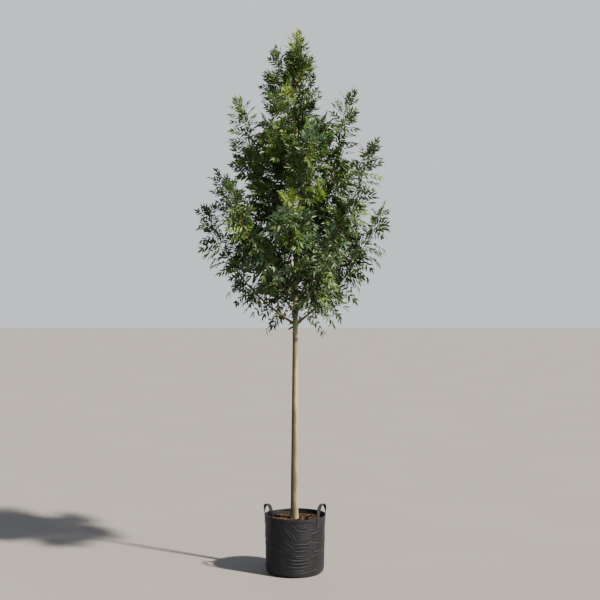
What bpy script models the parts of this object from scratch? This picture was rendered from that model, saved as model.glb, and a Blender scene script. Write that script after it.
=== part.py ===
"""A young narrow-leaved ash, grown as a standard and potted in a fabric grow bag.

Metres, +Z up. The origin is under the middle of the bag, on the surface that it stands on.
The clear stem carries opposite pairs of limbs. Each limb is a bare bough that ends where it
enters its own mass of foliage: a stem, twigs in pairs, and leaves made of several leaflets.
Every mass keeps to the space that is nearer to its own stem than to any other.
"""

import math
import random
from dataclasses import dataclass

import bmesh
import bpy
from mathutils import Quaternion, Vector
from mathutils.bvhtree import BVHTree
from mathutils.kdtree import KDTree

GAP = 0.0003                      # left between pieces that touch
UP = Vector((0.0, 0.0, 1.0))

# The grow bag
BAG_HEIGHT = 0.370
BAG_RIM_RADIUS = 0.195
BAG_FOOT_RADIUS = 0.1855
BAG_EDGE_ROUND = 0.030            # the rounded lower edge
BAG_WALL = 0.0030
HEM_HEIGHT = 0.020
HEM_PROUD = 0.0015
BAG_SEGMENTS = 36
ARC_STEPS = 3

# The compost
COMPOST_EDGE_LEVEL = 0.3385
COMPOST_LEVEL = 0.3450            # round the foot of the stem
COMPOST_FLAT_RADIUS = 0.036
COMPOST_SLOPE_RADIUS = 0.120      # where the mound starts to steepen
COMPOST_SLOPE_LEVEL = 0.3415

# The webbing handles
HANDLE_BEARINGS = {"handle_left": -163.0, "handle_right": -17.0}   # degrees from +X towards +Y
HANDLE_HALF_SPREAD = 24.5         # degrees round the bag from the loop's middle to a leg
HANDLE_SEWN_DEPTH = 0.062
HANDLE_RISE = 0.070
HANDLE_WIDTH = 0.024
HANDLE_THICKNESS = 0.0026
HANDLE_ARCH_STEPS = 18
HANDLE_ARCH_SQUARENESS = 2.3      # 2 is an ellipse, and more is squarer
HANDLE_TWIST_END = 0.67           # share of the way up the arch by which the webbing has turned edge-on

# The trunk
TREE_HEIGHT = 3.500
TRUNK_TOP = 3.020                 # the leading shoot goes on from here
TRUNK_FOOT_RADIUS = 0.0240
TRUNK_TAPER_POWER = 0.75
FLARE = 0.0042
FLARE_HEIGHT = 0.030
FLARE_STEPS = (0.0, 0.012, 0.030, 0.062)   # heights above the compost of the rings in the flare
TRUNK_SIDES = 12
TRUNK_STEP = 0.15
TRUNK_FOOT_OFFSET = -0.005        # the stem starts a little left of the bag's middle
TRUNK_LEAN = 0.018                # and leans to the right by this much on its way up
TRUNK_SWAY = 0.004

# The leading shoot
LEADER_STEM_TOP = 3.245           # its end leaf reaches the tree's full height
LEADER_SEED = 106
LEADER_DROOP = 0.15
LEADER_PAIRS = 4

# The limbs
BOUGH_SIDES = 6
BOUGH_STEPS = 3
BOUGH_FOOT_SHARE = 0.50           # of the trunk's radius where it leaves
BOUGH_TIP_RADIUS = 0.0050
BOUGH_TAPER_POWER = 0.8
STEM_SIDES = 5
STEM_STEPS = 3
STEM_TIP_RADIUS = 0.0021

# The side shoots along a stem
FIRST_PAIR_SHARE = 0.08           # of the stem, before the first pair's stretch
PAIRS_SHARE = 0.88                # of the stem, that the pairs are spread over
PAIR_TURN_SPREAD = 0.25           # radians, how far chance turns a pair from square to the last one
TWIG_RADIUS = 0.0042
TWIG_TIP_RADIUS = 0.0028
TWIG_LENGTH = 0.19
TWIG_SHORTENING = 0.6             # by how much of its length a twig at the stem's tip is shorter
TWIG_LENGTH_SPREAD = (0.85, 1.1)
TWIG_ANGLE = 46.0                 # degrees away from the stem
TWIG_TRIES = 4
TWIG_SHRINK = 0.2                 # of its length, taken off at each further try
TWIG_LEAF_PLACES = (0.38, 0.80)   # shares of a twig's length where its leaves stand in pairs

# The leaves
LEAF_LENGTH = 0.285
SIDE_LEAF_SIZE = 0.9              # of a leaf at the end of its shoot
LEAF_SIZE_SPREAD = (0.92, 1.05)
LEAF_DROOP_SPREAD = (0.7, 1.3)
LOW_DROOP = 1.15                  # how far a leaf arches over at the foot of the crown
HIGH_DROOP = 0.30                 # and at its top
CROWN_FOOT = 1.600
LEAF_ANGLE = 52.0                 # degrees away from the shoot
LEAFLET_PAIRS = 3
PETIOLE_SHARE = 0.22              # of the leaf's length, before the first pair
MIDRIB_END_SHARE = 0.70           # where the end leaflet starts
LEAFLET_SHARE = 0.37              # a leaflet's length
LEAFLET_SIZES = (0.86, 1.0, 0.92)  # of that length, from the lowest pair up
LEAFLET_FALL = 0.12               # of its length, how far a leaflet's tip hangs below the leaf
LEAFLET_ANGLE = 50.0              # degrees away from the midrib
END_LEAFLET_HALF_WIDTH = 0.060    # shares of the leaf's length
END_LEAFLET_WIDEST = 0.10         # past the last pair
MIDRIB_WIDTH = 0.0040
MIDRIB_DEPTH = 0.0032
MIDRIB_TOP_SHARE = 0.35           # of that depth, above the leaf's plane
STEEPEST = 0.93                   # upward part of a heading, past which UP no longer tells its sides
LEAF_SPREAD = 22.0                # degrees, how far chance turns a leaf
END_LEAF_SPREAD = 7.0             # the same for a leaf at the end of its shoot
END_LEAF_DEPTH = 0.005            # how deep that leaf starts inside its shoot
LEAF_ROLL = 50.0                  # and how far it tips the leaf to one side
SPACE_MARGIN = 0.006              # between one mass's space and the next
LIMB_MARGIN = 0.006               # between a leaf and a limb
LEAF_TRIES = 14
LEAF_SHRINK = 0.96                # a leaf that finds no room is tried again this much smaller


@dataclass(frozen=True)
class Limb:
    """One limb: where it leaves the trunk, which way it goes and where it ends."""

    name: str
    foot_height: float
    bearing: float        # degrees from +X towards +Y
    reach: float          # how far its shoot's tip stands from the trunk's axis
    tip_height: float
    bare_share: float     # of its length, a bough; 0 where the foliage starts at the trunk
    shoot_pairs: int      # pairs of side twigs or leaves along its stem


# Opposite pairs, each turned from the one below: foot height, bearing of the first limb,
# reach and tip height of the first limb and of the one opposite, bare share, pairs on the stem
LIMB_PAIRS = (
    (1.580, -3.0, (0.470, 2.130), (0.450, 2.030), 0.34, 4),
    (1.655, -68.0, (0.400, 1.900), (0.400, 1.930), 0.30, 4),
    (1.735, 44.0, (0.440, 2.150), (0.430, 2.180), 0.36, 4),
    (1.830, -24.0, (0.430, 2.450), (0.430, 2.300), 0.40, 4),
    (1.885, 72.0, (0.150, 2.060), (0.150, 2.050), 0.0, 2),
    (1.950, 86.0, (0.390, 2.350), (0.370, 2.220), 0.38, 4),
    (2.060, 18.0, (0.310, 2.850), (0.310, 2.750), 0.38, 5),
    (2.130, -50.0, (0.150, 2.310), (0.150, 2.300), 0.0, 2),
    (2.210, -72.0, (0.300, 2.640), (0.300, 2.620), 0.34, 3),
    (2.360, 62.0, (0.230, 2.760), (0.230, 2.810), 0.30, 3),
    (2.430, -15.0, (0.150, 2.620), (0.150, 2.610), 0.0, 2),
    (2.560, -34.0, (0.190, 2.820), (0.200, 2.800), 0.0, 3),
    (2.700, 70.0, (0.130, 2.950), (0.130, 2.930), 0.0, 3),
    (2.850, 12.0, (0.090, 3.080), (0.100, 3.120), 0.0, 3),
)
LIMB_OUTWARD_BOW = 0.06           # of its length, how far a limb bows out before it climbs


def clear_scene():
    for obj in list(bpy.data.objects):
        bpy.data.objects.remove(obj, do_unlink=True)


def material(name, colour, roughness):
    """A Principled material with no metal in it."""
    made = bpy.data.materials.new(name)
    made.use_nodes = True
    shader = made.node_tree.nodes["Principled BSDF"]
    shader.inputs["Base Color"].default_value = (*colour, 1.0)
    shader.inputs["Roughness"].default_value = roughness
    shader.inputs["Metallic"].default_value = 0.0
    made.diffuse_color = (*colour, 1.0)
    return made


def object_from(name, bm, surface, smooth=True):
    """Puts a bmesh in a new object of its own, with its faces turned outwards."""
    bmesh.ops.recalc_face_normals(bm, faces=bm.faces[:])
    mesh = bpy.data.meshes.new(name)
    bm.to_mesh(mesh)
    bm.free()
    mesh.materials.append(surface)
    if smooth:
        mesh.shade_smooth()
        mesh.set_sharp_from_angle(angle=math.radians(40.0))
    obj = bpy.data.objects.new(name, mesh)
    bpy.context.scene.collection.objects.link(obj)
    return obj


def turned(profile, segments):
    """Spins an outline of (radius, height) points, whose ends lie on the axis, round +Z."""
    bm = bmesh.new()
    verts = [bm.verts.new((radius, 0.0, height)) for radius, height in profile]
    edges = [bm.edges.new(pair) for pair in zip(verts, verts[1:])]
    bmesh.ops.spin(
        bm, geom=verts + edges, cent=(0, 0, 0), axis=(0, 0, 1),
        angle=2.0 * math.pi, steps=segments, use_merge=True,
    )
    bmesh.ops.remove_doubles(bm, verts=bm.verts[:], dist=1e-6)
    return bm


def frames_along(points, first=None, last=None):
    """(tangent, side, other side) at each point, turned as little as possible along the way.

    first and last, where given, are the tangents at the two ends, so that meeting caps are parallel.
    """
    tangents = []
    for i, _ in enumerate(points):
        before, after = points[max(i - 1, 0)], points[min(i + 1, len(points) - 1)]
        tangents.append((after - before).normalized())
    tangents[0] = first or tangents[0]
    tangents[-1] = last or tangents[-1]
    side = tangents[0].orthogonal().normalized()
    frames = []
    for tangent in tangents:
        side = (side - tangent * side.dot(tangent)).normalized()
        frames.append((tangent, side, tangent.cross(side)))
    return frames


def tube(points, radii, sides, first=None, last=None):
    """A closed tube with a flat cap at each end, as a bmesh."""
    bm = bmesh.new()
    rings = []
    for centre, radius, (_, side, other) in zip(points, radii, frames_along(points, first, last)):
        ring = []
        for i in range(sides):
            turn = 2.0 * math.pi * i / sides
            ring.append(bm.verts.new(centre + radius * (math.cos(turn) * side + math.sin(turn) * other)))
        rings.append(ring)
    for low, high in zip(rings, rings[1:]):
        for i in range(sides):
            j = (i + 1) % sides
            bm.faces.new((low[i], low[j], high[j], high[i]))
    bm.faces.new(rings[0][::-1])
    bm.faces.new(rings[-1])
    bmesh.ops.recalc_face_normals(bm, faces=bm.faces[:])
    return bm


def trunk_axis(height):
    """The middle of the trunk at a height."""
    rise = (height - COMPOST_LEVEL) / (TREE_HEIGHT - COMPOST_LEVEL)
    sway = TRUNK_SWAY * math.sin(2.0 * math.pi * rise)
    return Vector((TRUNK_FOOT_OFFSET + TRUNK_LEAN * rise, sway, height))


def trunk_radius(height):
    rise = (height - COMPOST_LEVEL) / (TREE_HEIGHT - COMPOST_LEVEL)
    taper = TRUNK_FOOT_RADIUS * max(1.0 - rise, 0.0) ** TRUNK_TAPER_POWER
    return taper + FLARE * math.exp(-(height - COMPOST_LEVEL) / FLARE_HEIGHT)


def trunk_heights():
    foot = COMPOST_LEVEL + GAP
    steps = round((TRUNK_TOP - foot) / TRUNK_STEP)
    root_flare = [foot + step for step in FLARE_STEPS]
    return root_flare + [foot + (TRUNK_TOP - foot) * i / steps for i in range(1, steps + 1)]


def make_trunk(bark):
    heights = trunk_heights()
    points = [trunk_axis(z) for z in heights]
    radii = [trunk_radius(z) for z in heights]
    return object_from("trunk", tube(points, radii, TRUNK_SIDES, first=UP, last=UP), bark)


def limbs():
    """Both limbs of each pair, then the leading shoot."""
    made = []
    for number, (foot, bearing, first, second, bare, pairs) in enumerate(LIMB_PAIRS, start=1):
        for letter, turn, (reach, tip) in (("a", 0.0, first), ("b", 180.0, second)):
            made.append(Limb(f"{number:02d}{letter}", foot, bearing + turn, reach, tip, bare, pairs))
    return made


def limb_point(limb, share):
    """A point of a limb: it leaves the trunk outwards, bows a little, and climbs to its tip."""
    foot = trunk_axis(limb.foot_height)
    turn = math.radians(limb.bearing)
    outward = Vector((math.cos(turn), math.sin(turn), 0.0))
    tip = Vector((foot.x, foot.y, limb.tip_height)) + outward * limb.reach
    length = (tip - foot).length
    bow = LIMB_OUTWARD_BOW * length * math.sin(math.pi * share)
    across = (tip - foot).normalized().cross(outward.cross(UP)).normalized()
    if across.dot(outward) < 0.0:
        across.negate()
    return foot.lerp(tip, share) + across * bow


def limb_tangent(limb, share, step=0.001):
    return (limb_point(limb, share + step) - limb_point(limb, share - step)).normalized()


def limb_length(limb):
    return (limb_point(limb, 1.0) - limb_point(limb, 0.0)).length


def bough_foot_radius(limb):
    return BOUGH_FOOT_SHARE * trunk_radius(limb.foot_height)


def make_clearance(bark):
    """A hidden copy of the trunk, a hair fatter, that shapes the foot of every limb."""
    heights = trunk_heights()
    points = [trunk_axis(z) for z in heights]
    radii = [trunk_radius(z) + GAP / math.cos(math.pi / TRUNK_SIDES) for z in heights]
    cutter = object_from("trunk_clearance", tube(points, radii, TRUNK_SIDES, first=UP, last=UP), bark)
    cutter.hide_render = True
    cutter.display_type = "WIRE"
    return cutter


def cut_clear_of(obj, cutter):
    cut = obj.modifiers.new("clear_of_trunk", "BOOLEAN")
    cut.operation = "DIFFERENCE"
    cut.object = cutter


def make_bough(limb, bark, cutter):
    shares = [limb.bare_share * i / BOUGH_STEPS for i in range(BOUGH_STEPS + 1)]
    foot = bough_foot_radius(limb)
    tapers = [(i / BOUGH_STEPS) ** BOUGH_TAPER_POWER for i in range(BOUGH_STEPS + 1)]
    radii = [foot + (BOUGH_TIP_RADIUS - foot) * taper for taper in tapers]
    points = [limb_point(limb, share) for share in shares]
    end = limb_tangent(limb, limb.bare_share)
    obj = object_from(f"bough_{limb.name}", tube(points, radii, BOUGH_SIDES, last=end), bark)
    cut_clear_of(obj, cutter)
    return obj


class Space:
    """Tells whether a point is in a mass's own space and clear of the limbs."""

    STEP = 0.015

    def __init__(self, all_limbs, leader_points):
        self.axes = {limb.name: self.axis_points(limb) for limb in all_limbs}
        self.axes["leader"] = leader_points
        self.own = {name: self.tree_of(points) for name, points in self.axes.items()}
        self.others = {}
        for name in self.axes:
            points = [p for other, found in self.axes.items() if other != name for p in found]
            self.others[name] = self.tree_of(points)
        self.wood = []
        height = COMPOST_LEVEL
        while height < TRUNK_TOP:
            self.wood.append((trunk_axis(height), trunk_radius(height)))
            height += self.STEP
        for limb in all_limbs:
            if not limb.bare_share:
                continue
            steps = max(2, round(limb_length(limb) * limb.bare_share / self.STEP))
            for i in range(steps + 1):
                share = i / steps
                radius = bough_foot_radius(limb) * (1.0 - share) + BOUGH_TIP_RADIUS * share
                self.wood.append((limb_point(limb, limb.bare_share * share), radius))
        self.wood_tree = self.tree_of([point for point, _ in self.wood])

    def axis_points(self, limb):
        """Points along a limb's stem, past its bough."""
        leafy = 1.0 - limb.bare_share
        steps = round(limb_length(limb) * leafy / self.STEP)
        return [limb_point(limb, limb.bare_share + leafy * i / steps) for i in range(1, steps + 1)]

    @staticmethod
    def tree_of(points):
        tree = KDTree(len(points))
        for i, point in enumerate(points):
            tree.insert(point, i)
        tree.balance()
        return tree

    def allows(self, name, points):
        for point in points:
            mine = self.own[name].find(point)[2]
            theirs = self.others[name].find(point)[2]
            if mine + SPACE_MARGIN > theirs:
                return False
            _, index, distance = self.wood_tree.find(point)
            if distance < self.wood[index][1] + LIMB_MARGIN:
                return False
        return True


@dataclass
class Leaf:
    """A compound leaf: a three-sided midrib with pairs of pointed leaflets and one at its end."""

    stations: list      # points along the midrib, the first inside the shoot
    tips: list          # (station, left tip, right tip) of each pair
    end: Vector
    end_sides: tuple    # the widest points of the end leaflet, left and right
    sides: list         # the leaf's sideways direction at each station
    normals: list       # and the way its upper face looks

    def sample(self):
        """Points all over the leaf, past the part that sits in its shoot."""
        points = [self.end, self.stations[-1].lerp(self.end, 0.5)]
        for i, left, right in self.tips:
            base = self.stations[i].lerp(self.stations[i + 1], 0.5)
            for tip in (left, right):
                points += [tip, base.lerp(tip, 0.66), base.lerp(tip, 0.33)]
            points.append(base)
        points.append(self.stations[0].lerp(self.stations[1], 0.55))
        return points

    def piece(self):
        bm = bmesh.new()
        upper, lower = [], []
        for point, side, normal in zip(self.stations, self.sides, self.normals):
            top = point + normal * MIDRIB_DEPTH * MIDRIB_TOP_SHARE
            half = side * MIDRIB_WIDTH * 0.5
            upper.append((bm.verts.new(top - half), bm.verts.new(top + half)))
            lower.append(bm.verts.new(point - normal * MIDRIB_DEPTH * (1.0 - MIDRIB_TOP_SHARE)))
        bm.faces.new((upper[0][0], upper[0][1], lower[0]))
        tips = {i: (left, right) for i, left, right in self.tips}
        for i in range(len(self.stations) - 1):
            (l0, r0), (l1, r1), b0, b1 = upper[i], upper[i + 1], lower[i], lower[i + 1]
            bm.faces.new((l0, l1, r1, r0))
            if i not in tips:
                bm.faces.new((l0, b0, b1, l1))
                bm.faces.new((r0, r1, b1, b0))
                continue
            left, right = (bm.verts.new(tip) for tip in tips[i])
            for near, far, tip in ((l0, l1, left), (r0, r1, right)):
                bm.faces.new((near, tip, far))
                bm.faces.new((b0, tip, b1))
                bm.faces.new((near, b0, tip))
                bm.faces.new((far, b1, tip))
        end = bm.verts.new(self.end)
        (left, right), below = upper[-1], lower[-1]
        bm.faces.new((left, end, right))
        for near, widest in zip((left, right), self.end_sides):
            edge = bm.verts.new(widest)
            bm.faces.new((near, edge, end))
            bm.faces.new((near, below, edge))
            bm.faces.new((below, end, edge))
        bmesh.ops.recalc_face_normals(bm, faces=bm.faces[:])
        return bm


def grown_leaf(root, direction, length, droop, roll):
    """Works out one leaf that sets off in a direction and arches over by droop."""
    shares = [0.0, PETIOLE_SHARE]
    spacing = (MIDRIB_END_SHARE - PETIOLE_SHARE) / LEAFLET_PAIRS
    shares += [PETIOLE_SHARE + spacing * (i + 1) for i in range(LEAFLET_PAIRS)]
    shares.append(1.0)
    heading = direction.normalized()
    reference = UP if abs(heading.z) < STEEPEST else heading.orthogonal()
    across = heading.cross(reference).normalized()
    across.rotate(Quaternion(heading, roll))
    points, sides, normals, headings = [root], [], [], []
    for before, after in zip(shares, shares[1:] + [1.0]):
        across = (across - heading * across.dot(heading)).normalized()
        normal = across.cross(heading)
        sides.append(across.copy())
        normals.append(normal)
        headings.append(heading.copy())
        points.append(points[-1] + heading * length * (after - before))
        heading = (heading - UP * droop * (after - before)).normalized()
    stations = points[:len(shares) - 1]
    lean = math.radians(LEAFLET_ANGLE)
    tips = []
    for pair in range(LEAFLET_PAIRS):
        i = pair + 1
        size = LEAFLET_SHARE * length * LEAFLET_SIZES[pair]
        base = stations[i].lerp(stations[i + 1], 0.5)
        forward = headings[i] * math.cos(lean)
        out = sides[i] * math.sin(lean)
        fall = normals[i] * -LEAFLET_FALL
        tips.append((i, base + (forward - out + fall) * size, base + (forward + out + fall) * size))
    half = sides[-1] * END_LEAFLET_HALF_WIDTH * length
    widest = stations[-1] + headings[-1] * END_LEAFLET_WIDEST * length
    return Leaf(stations, tips, points[len(shares) - 1], (widest - half, widest + half), sides, normals)


def shoot_directions(axis, angle, turn):
    """Two opposite directions that lean away from a shoot's axis, at a turn round it."""
    side = axis.orthogonal().normalized()
    side.rotate(Quaternion(axis, turn))
    lean = math.radians(angle)
    return [(axis * math.cos(lean) + side * sign * math.sin(lean)).normalized() for sign in (1.0, -1.0)]


class Mass:
    """One mass of foliage, grown by a seeded rule from its stem."""

    def __init__(self, name, seed, stem, first, radii, space, droop, pairs):
        self.name = name
        self.chance = random.Random(seed)
        self.space = space
        self.droop = droop
        self.pairs = pairs
        self.pieces = []
        self.shapes = []
        self.leaves = 0
        self.add_piece(tube(stem, radii, STEM_SIDES, first=first))
        self.grow(stem)

    def add_piece(self, bm):
        """Keeps a piece's mesh for the union, and its shape for later pieces to stay off."""
        self.shapes.append(BVHTree.FromBMesh(bm))
        mesh = bpy.data.meshes.new("piece")
        bm.to_mesh(mesh)
        bm.free()
        self.pieces.append(mesh)

    def has_room(self, bm, shoot):
        """Whether a new piece meets none of the pieces but the shoot that it grows from."""
        shape = BVHTree.FromBMesh(bm)
        return not any(shape.overlap(other) for i, other in enumerate(self.shapes) if i != shoot)

    def grow(self, stem):
        """A leaf at the stem's tip, pairs of twigs along it, and a pair of leaves above them."""
        end = (stem[-1] - stem[-2]).normalized()
        self.try_leaf(0, stem[-1] - end * END_LEAF_DEPTH, end, 1.0, END_LEAF_SPREAD)
        turn = self.chance.uniform(0.0, math.pi)
        for pair in range(self.pairs):
            share = FIRST_PAIR_SHARE + PAIRS_SHARE * (pair + 0.5) / self.pairs
            foot, axis = self.place_on(stem, share)
            twig_length = TWIG_LENGTH * (1.0 - TWIG_SHORTENING * share)
            for direction in shoot_directions(axis, TWIG_ANGLE, turn):
                if pair < self.pairs - 1:
                    self.try_twig(foot, direction, twig_length)
                else:
                    self.try_leaf(0, foot, direction, SIDE_LEAF_SIZE)
            turn += math.pi / 2.0 + self.chance.uniform(-PAIR_TURN_SPREAD, PAIR_TURN_SPREAD)

    @staticmethod
    def place_on(stem, share):
        spot = share * (len(stem) - 1)
        i = min(int(spot), len(stem) - 2)
        return stem[i].lerp(stem[i + 1], spot - i), (stem[i + 1] - stem[i]).normalized()

    def try_twig(self, foot, direction, length):
        """A twig with pairs of leaves along it and a leaf at its end."""
        for attempt in range(TWIG_TRIES):
            reach = length * self.chance.uniform(*TWIG_LENGTH_SPREAD) * (1.0 - TWIG_SHRINK * attempt)
            points = [foot, foot + direction * reach]
            twig = tube(points, (TWIG_RADIUS, TWIG_TIP_RADIUS), 3)
            if self.space.allows(self.name, points[1:]) and self.has_room(twig, 0):
                break
            twig.free()
        else:
            self.try_leaf(0, foot, direction, SIDE_LEAF_SIZE)
            return
        own = len(self.pieces)
        self.add_piece(twig)
        before = self.leaves
        self.try_leaf(own, points[1] - direction * END_LEAF_DEPTH, direction, 1.0, END_LEAF_SPREAD)
        turn = self.chance.uniform(0.0, math.pi)
        for place in TWIG_LEAF_PLACES:
            for way in shoot_directions(direction, LEAF_ANGLE, turn):
                self.try_leaf(own, foot.lerp(points[1], place), way, SIDE_LEAF_SIZE)
            turn += math.pi / 2.0
        if self.leaves == before:
            del self.pieces[own:]
            del self.shapes[own:]

    def try_leaf(self, shoot, foot, direction, size, spread=LEAF_SPREAD):
        for attempt in range(LEAF_TRIES):
            heading = direction.copy()
            for turned_about in (UP, direction.orthogonal()):
                angle = math.radians(self.chance.uniform(-spread, spread))
                heading.rotate(Quaternion(turned_about, angle))
            length = LEAF_LENGTH * size * LEAF_SHRINK ** attempt * self.chance.uniform(*LEAF_SIZE_SPREAD)
            droop = self.droop * self.chance.uniform(*LEAF_DROOP_SPREAD)
            roll = math.radians(self.chance.uniform(-LEAF_ROLL, LEAF_ROLL))
            leaf = grown_leaf(foot, heading, length, droop, roll)
            if not self.space.allows(self.name, leaf.sample()):
                continue
            shape = leaf.piece()
            if self.has_room(shape, shoot):
                self.add_piece(shape)
                self.leaves += 1
                return
            shape.free()

    def fused(self, leaf_green, cutter):
        """One Boolean union of the stem with a collection of all the rest, applied."""
        holder = bpy.data.collections.new(f"pieces_of_{self.name}")
        bpy.context.scene.collection.children.link(holder)
        obj = bpy.data.objects.new("stem", self.pieces[0])
        bpy.context.scene.collection.objects.link(obj)
        for mesh in self.pieces[1:]:
            holder.objects.link(bpy.data.objects.new("piece", mesh))
        union = obj.modifiers.new("fuse", "BOOLEAN")
        union.operation = "UNION"
        union.operand_type = "COLLECTION"
        union.collection = holder
        if cutter:
            cut_clear_of(obj, cutter)
        for solver in ("EXACT", "MANIFOLD"):
            for modifier in obj.modifiers:
                modifier.solver = solver
            bpy.context.view_layer.update()
            evaluated = obj.evaluated_get(bpy.context.evaluated_depsgraph_get())
            body = whole_body(bpy.data.meshes.new_from_object(evaluated))
            if is_closed(body):
                break
            print(f"foliage_{self.name}: {solver} left it open")
        for helper in [obj, *holder.objects]:
            bpy.data.objects.remove(helper, do_unlink=True)
        bpy.data.collections.remove(holder)
        return object_from(f"foliage_{self.name}", body, leaf_green, smooth=False)


def signed_volume(faces):
    total = 0.0
    for face in faces:
        first = face.verts[0].co
        for a, b in zip(face.verts[1:], face.verts[2:]):
            total += first.dot(a.co.cross(b.co)) / 6.0
    return total


def islands_of(bm):
    """The faces of each piece of a mesh that is joined by its edges."""
    left = set(bm.faces)
    while left:
        start = left.pop()
        island, queue = [start], [start]
        while queue:
            face = queue.pop()
            for edge in face.edges:
                for neighbour in edge.link_faces:
                    if neighbour in left:
                        left.remove(neighbour)
                        island.append(neighbour)
                        queue.append(neighbour)
        yield island


def whole_body(mesh):
    """Keeps the largest body of a fused mesh: loose scraps and sealed hollows go."""
    bm = bmesh.new()
    bm.from_mesh(mesh)
    bmesh.ops.triangulate(bm, faces=bm.faces[:])
    found = sorted(islands_of(bm), key=signed_volume)
    for island in found[:-1]:
        bmesh.ops.delete(bm, geom=island, context="FACES")
    return bm


def is_closed(bm):
    return all(len(edge.link_faces) == 2 for edge in bm.edges)


def stem_radii(start, count):
    return [start + (STEM_TIP_RADIUS - start) * i / (count - 1) for i in range(count)]


def droop_at(height):
    """Low leaves hang and high ones stand up."""
    share = (height - CROWN_FOOT) / (TREE_HEIGHT - CROWN_FOOT)
    return LOW_DROOP + (HIGH_DROOP - LOW_DROOP) * share


def make_foliage(all_limbs, leaf_green, cutter):
    """A mass on each limb and one on the leader; those that start at the trunk are cut clear."""
    foot = TRUNK_TOP + GAP
    leader = [trunk_axis(foot + (LEADER_STEM_TOP - foot) * i / STEM_STEPS) for i in range(STEM_STEPS + 1)]
    space = Space(all_limbs, leader)
    leaves = 0
    for seed, limb in enumerate(all_limbs, start=1):
        bare = limb.bare_share
        first = limb_tangent(limb, bare)
        stem = [limb_point(limb, bare + (1.0 - bare) * i / STEM_STEPS) for i in range(STEM_STEPS + 1)]
        stem[0] += first * GAP if bare else Vector()
        radii = stem_radii(BOUGH_TIP_RADIUS if bare else bough_foot_radius(limb), len(stem))
        mass = Mass(limb.name, seed, stem, first, radii, space, droop_at(limb.tip_height), limb.shoot_pairs)
        mass.fused(leaf_green, None if bare else cutter)
        leaves += mass.leaves
    radii = stem_radii(trunk_radius(TRUNK_TOP), len(leader))
    mass = Mass("leader", LEADER_SEED, leader, UP, radii, space, LEADER_DROOP, LEADER_PAIRS)
    mass.fused(leaf_green, None)
    print(f"{leaves + mass.leaves} leaves")


def arc(centre_radius, centre_height, radius, start, end, steps):
    """Points of (radius, height) round an arc, angles in degrees from outwards towards up."""
    points = []
    for i in range(steps + 1):
        turn = math.radians(start + (end - start) * i / steps)
        points.append((centre_radius + radius * math.cos(turn), centre_height + radius * math.sin(turn)))
    return points


def wall_radius(height):
    """The outer radius of the bag's plain wall, which widens towards the rim."""
    share = (height - BAG_EDGE_ROUND) / (BAG_HEIGHT - BAG_EDGE_ROUND)
    return BAG_FOOT_RADIUS + (BAG_RIM_RADIUS - HEM_PROUD - BAG_FOOT_RADIUS) * share


def make_bag(cloth):
    hem_foot = BAG_HEIGHT - HEM_HEIGHT
    inner_round = BAG_EDGE_ROUND - BAG_WALL
    outer = [(0.0, 0.0)]
    outer += arc(BAG_FOOT_RADIUS - BAG_EDGE_ROUND, BAG_EDGE_ROUND, BAG_EDGE_ROUND, -90.0, 0.0, ARC_STEPS)
    outer += [(wall_radius(hem_foot), hem_foot)]
    outer += [(BAG_RIM_RADIUS, hem_foot + 0.002), (BAG_RIM_RADIUS, BAG_HEIGHT - 0.001)]
    inner = [(BAG_RIM_RADIUS - 0.001, BAG_HEIGHT), (BAG_RIM_RADIUS - BAG_WALL, BAG_HEIGHT)]
    inner += arc(BAG_FOOT_RADIUS - BAG_EDGE_ROUND, BAG_EDGE_ROUND, inner_round, 0.0, -90.0, ARC_STEPS)
    inner += [(0.0, BAG_WALL)]
    return object_from("grow_bag", turned(outer + inner, BAG_SEGMENTS), cloth)


def make_compost(earth):
    """Fills the bag to a little under its rim, a little higher round the stem."""
    middle = BAG_FOOT_RADIUS - BAG_EDGE_ROUND
    fill = BAG_WALL + GAP
    profile = [(0.0, fill)]
    profile += arc(middle, BAG_EDGE_ROUND, BAG_EDGE_ROUND - fill, -90.0, 0.0, ARC_STEPS)
    profile += [(wall_radius(COMPOST_EDGE_LEVEL) - fill - GAP, COMPOST_EDGE_LEVEL)]
    profile += [(COMPOST_SLOPE_RADIUS, COMPOST_SLOPE_LEVEL), (COMPOST_FLAT_RADIUS, COMPOST_LEVEL)]
    profile += [(0.0, COMPOST_LEVEL)]
    return object_from("compost", turned(profile, BAG_SEGMENTS), earth)


def handle_route(bearing):
    """Points and widthwise directions of a webbing loop: up a leg, over the arch and down."""
    middle = math.radians(bearing)
    outward = Vector((math.cos(middle), math.sin(middle), 0.0))
    chord = UP.cross(outward)
    spread = math.radians(HANDLE_HALF_SPREAD)
    stand_off = BAG_RIM_RADIUS + GAP + HANDLE_THICKNESS / 2.0
    rim = BAG_HEIGHT + 0.002
    half = stand_off * math.sin(spread)
    centre = outward * stand_off * math.cos(spread)
    points, widths = [], []
    for sign in (-1.0, 1.0):
        leg = outward * math.cos(spread) + chord * sign * math.sin(spread)
        leg_width = UP.cross(leg)
        leg_points = [leg * stand_off + UP * (rim - HANDLE_SEWN_DEPTH * (1.0 - i / 2.0)) for i in range(3)]
        arch = []
        for i in range(1, HANDLE_ARCH_STEPS // 2 + (sign < 0)):
            turn = math.pi / 2.0 * i / (HANDLE_ARCH_STEPS // 2)
            across = math.cos(turn) ** (2.0 / HANDLE_ARCH_SQUARENESS)
            rise = math.sin(turn) ** (2.0 / HANDLE_ARCH_SQUARENESS)
            twist = min(1.0, turn / (math.pi / 2.0) / HANDLE_TWIST_END)
            twist = twist * twist * (3.0 - 2.0 * twist)
            place = centre + chord * sign * half * across + UP * (rim + HANDLE_RISE * rise)
            arch.append((place, leg_width.lerp(outward * -sign, twist)))
        run = [(place, leg_width) for place in leg_points] + arch
        if sign > 0:
            run = [(place, width * -1.0) for place, width in reversed(run)]
        points += [place for place, _ in run]
        widths += [width for _, width in run]
    return points, widths


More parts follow.
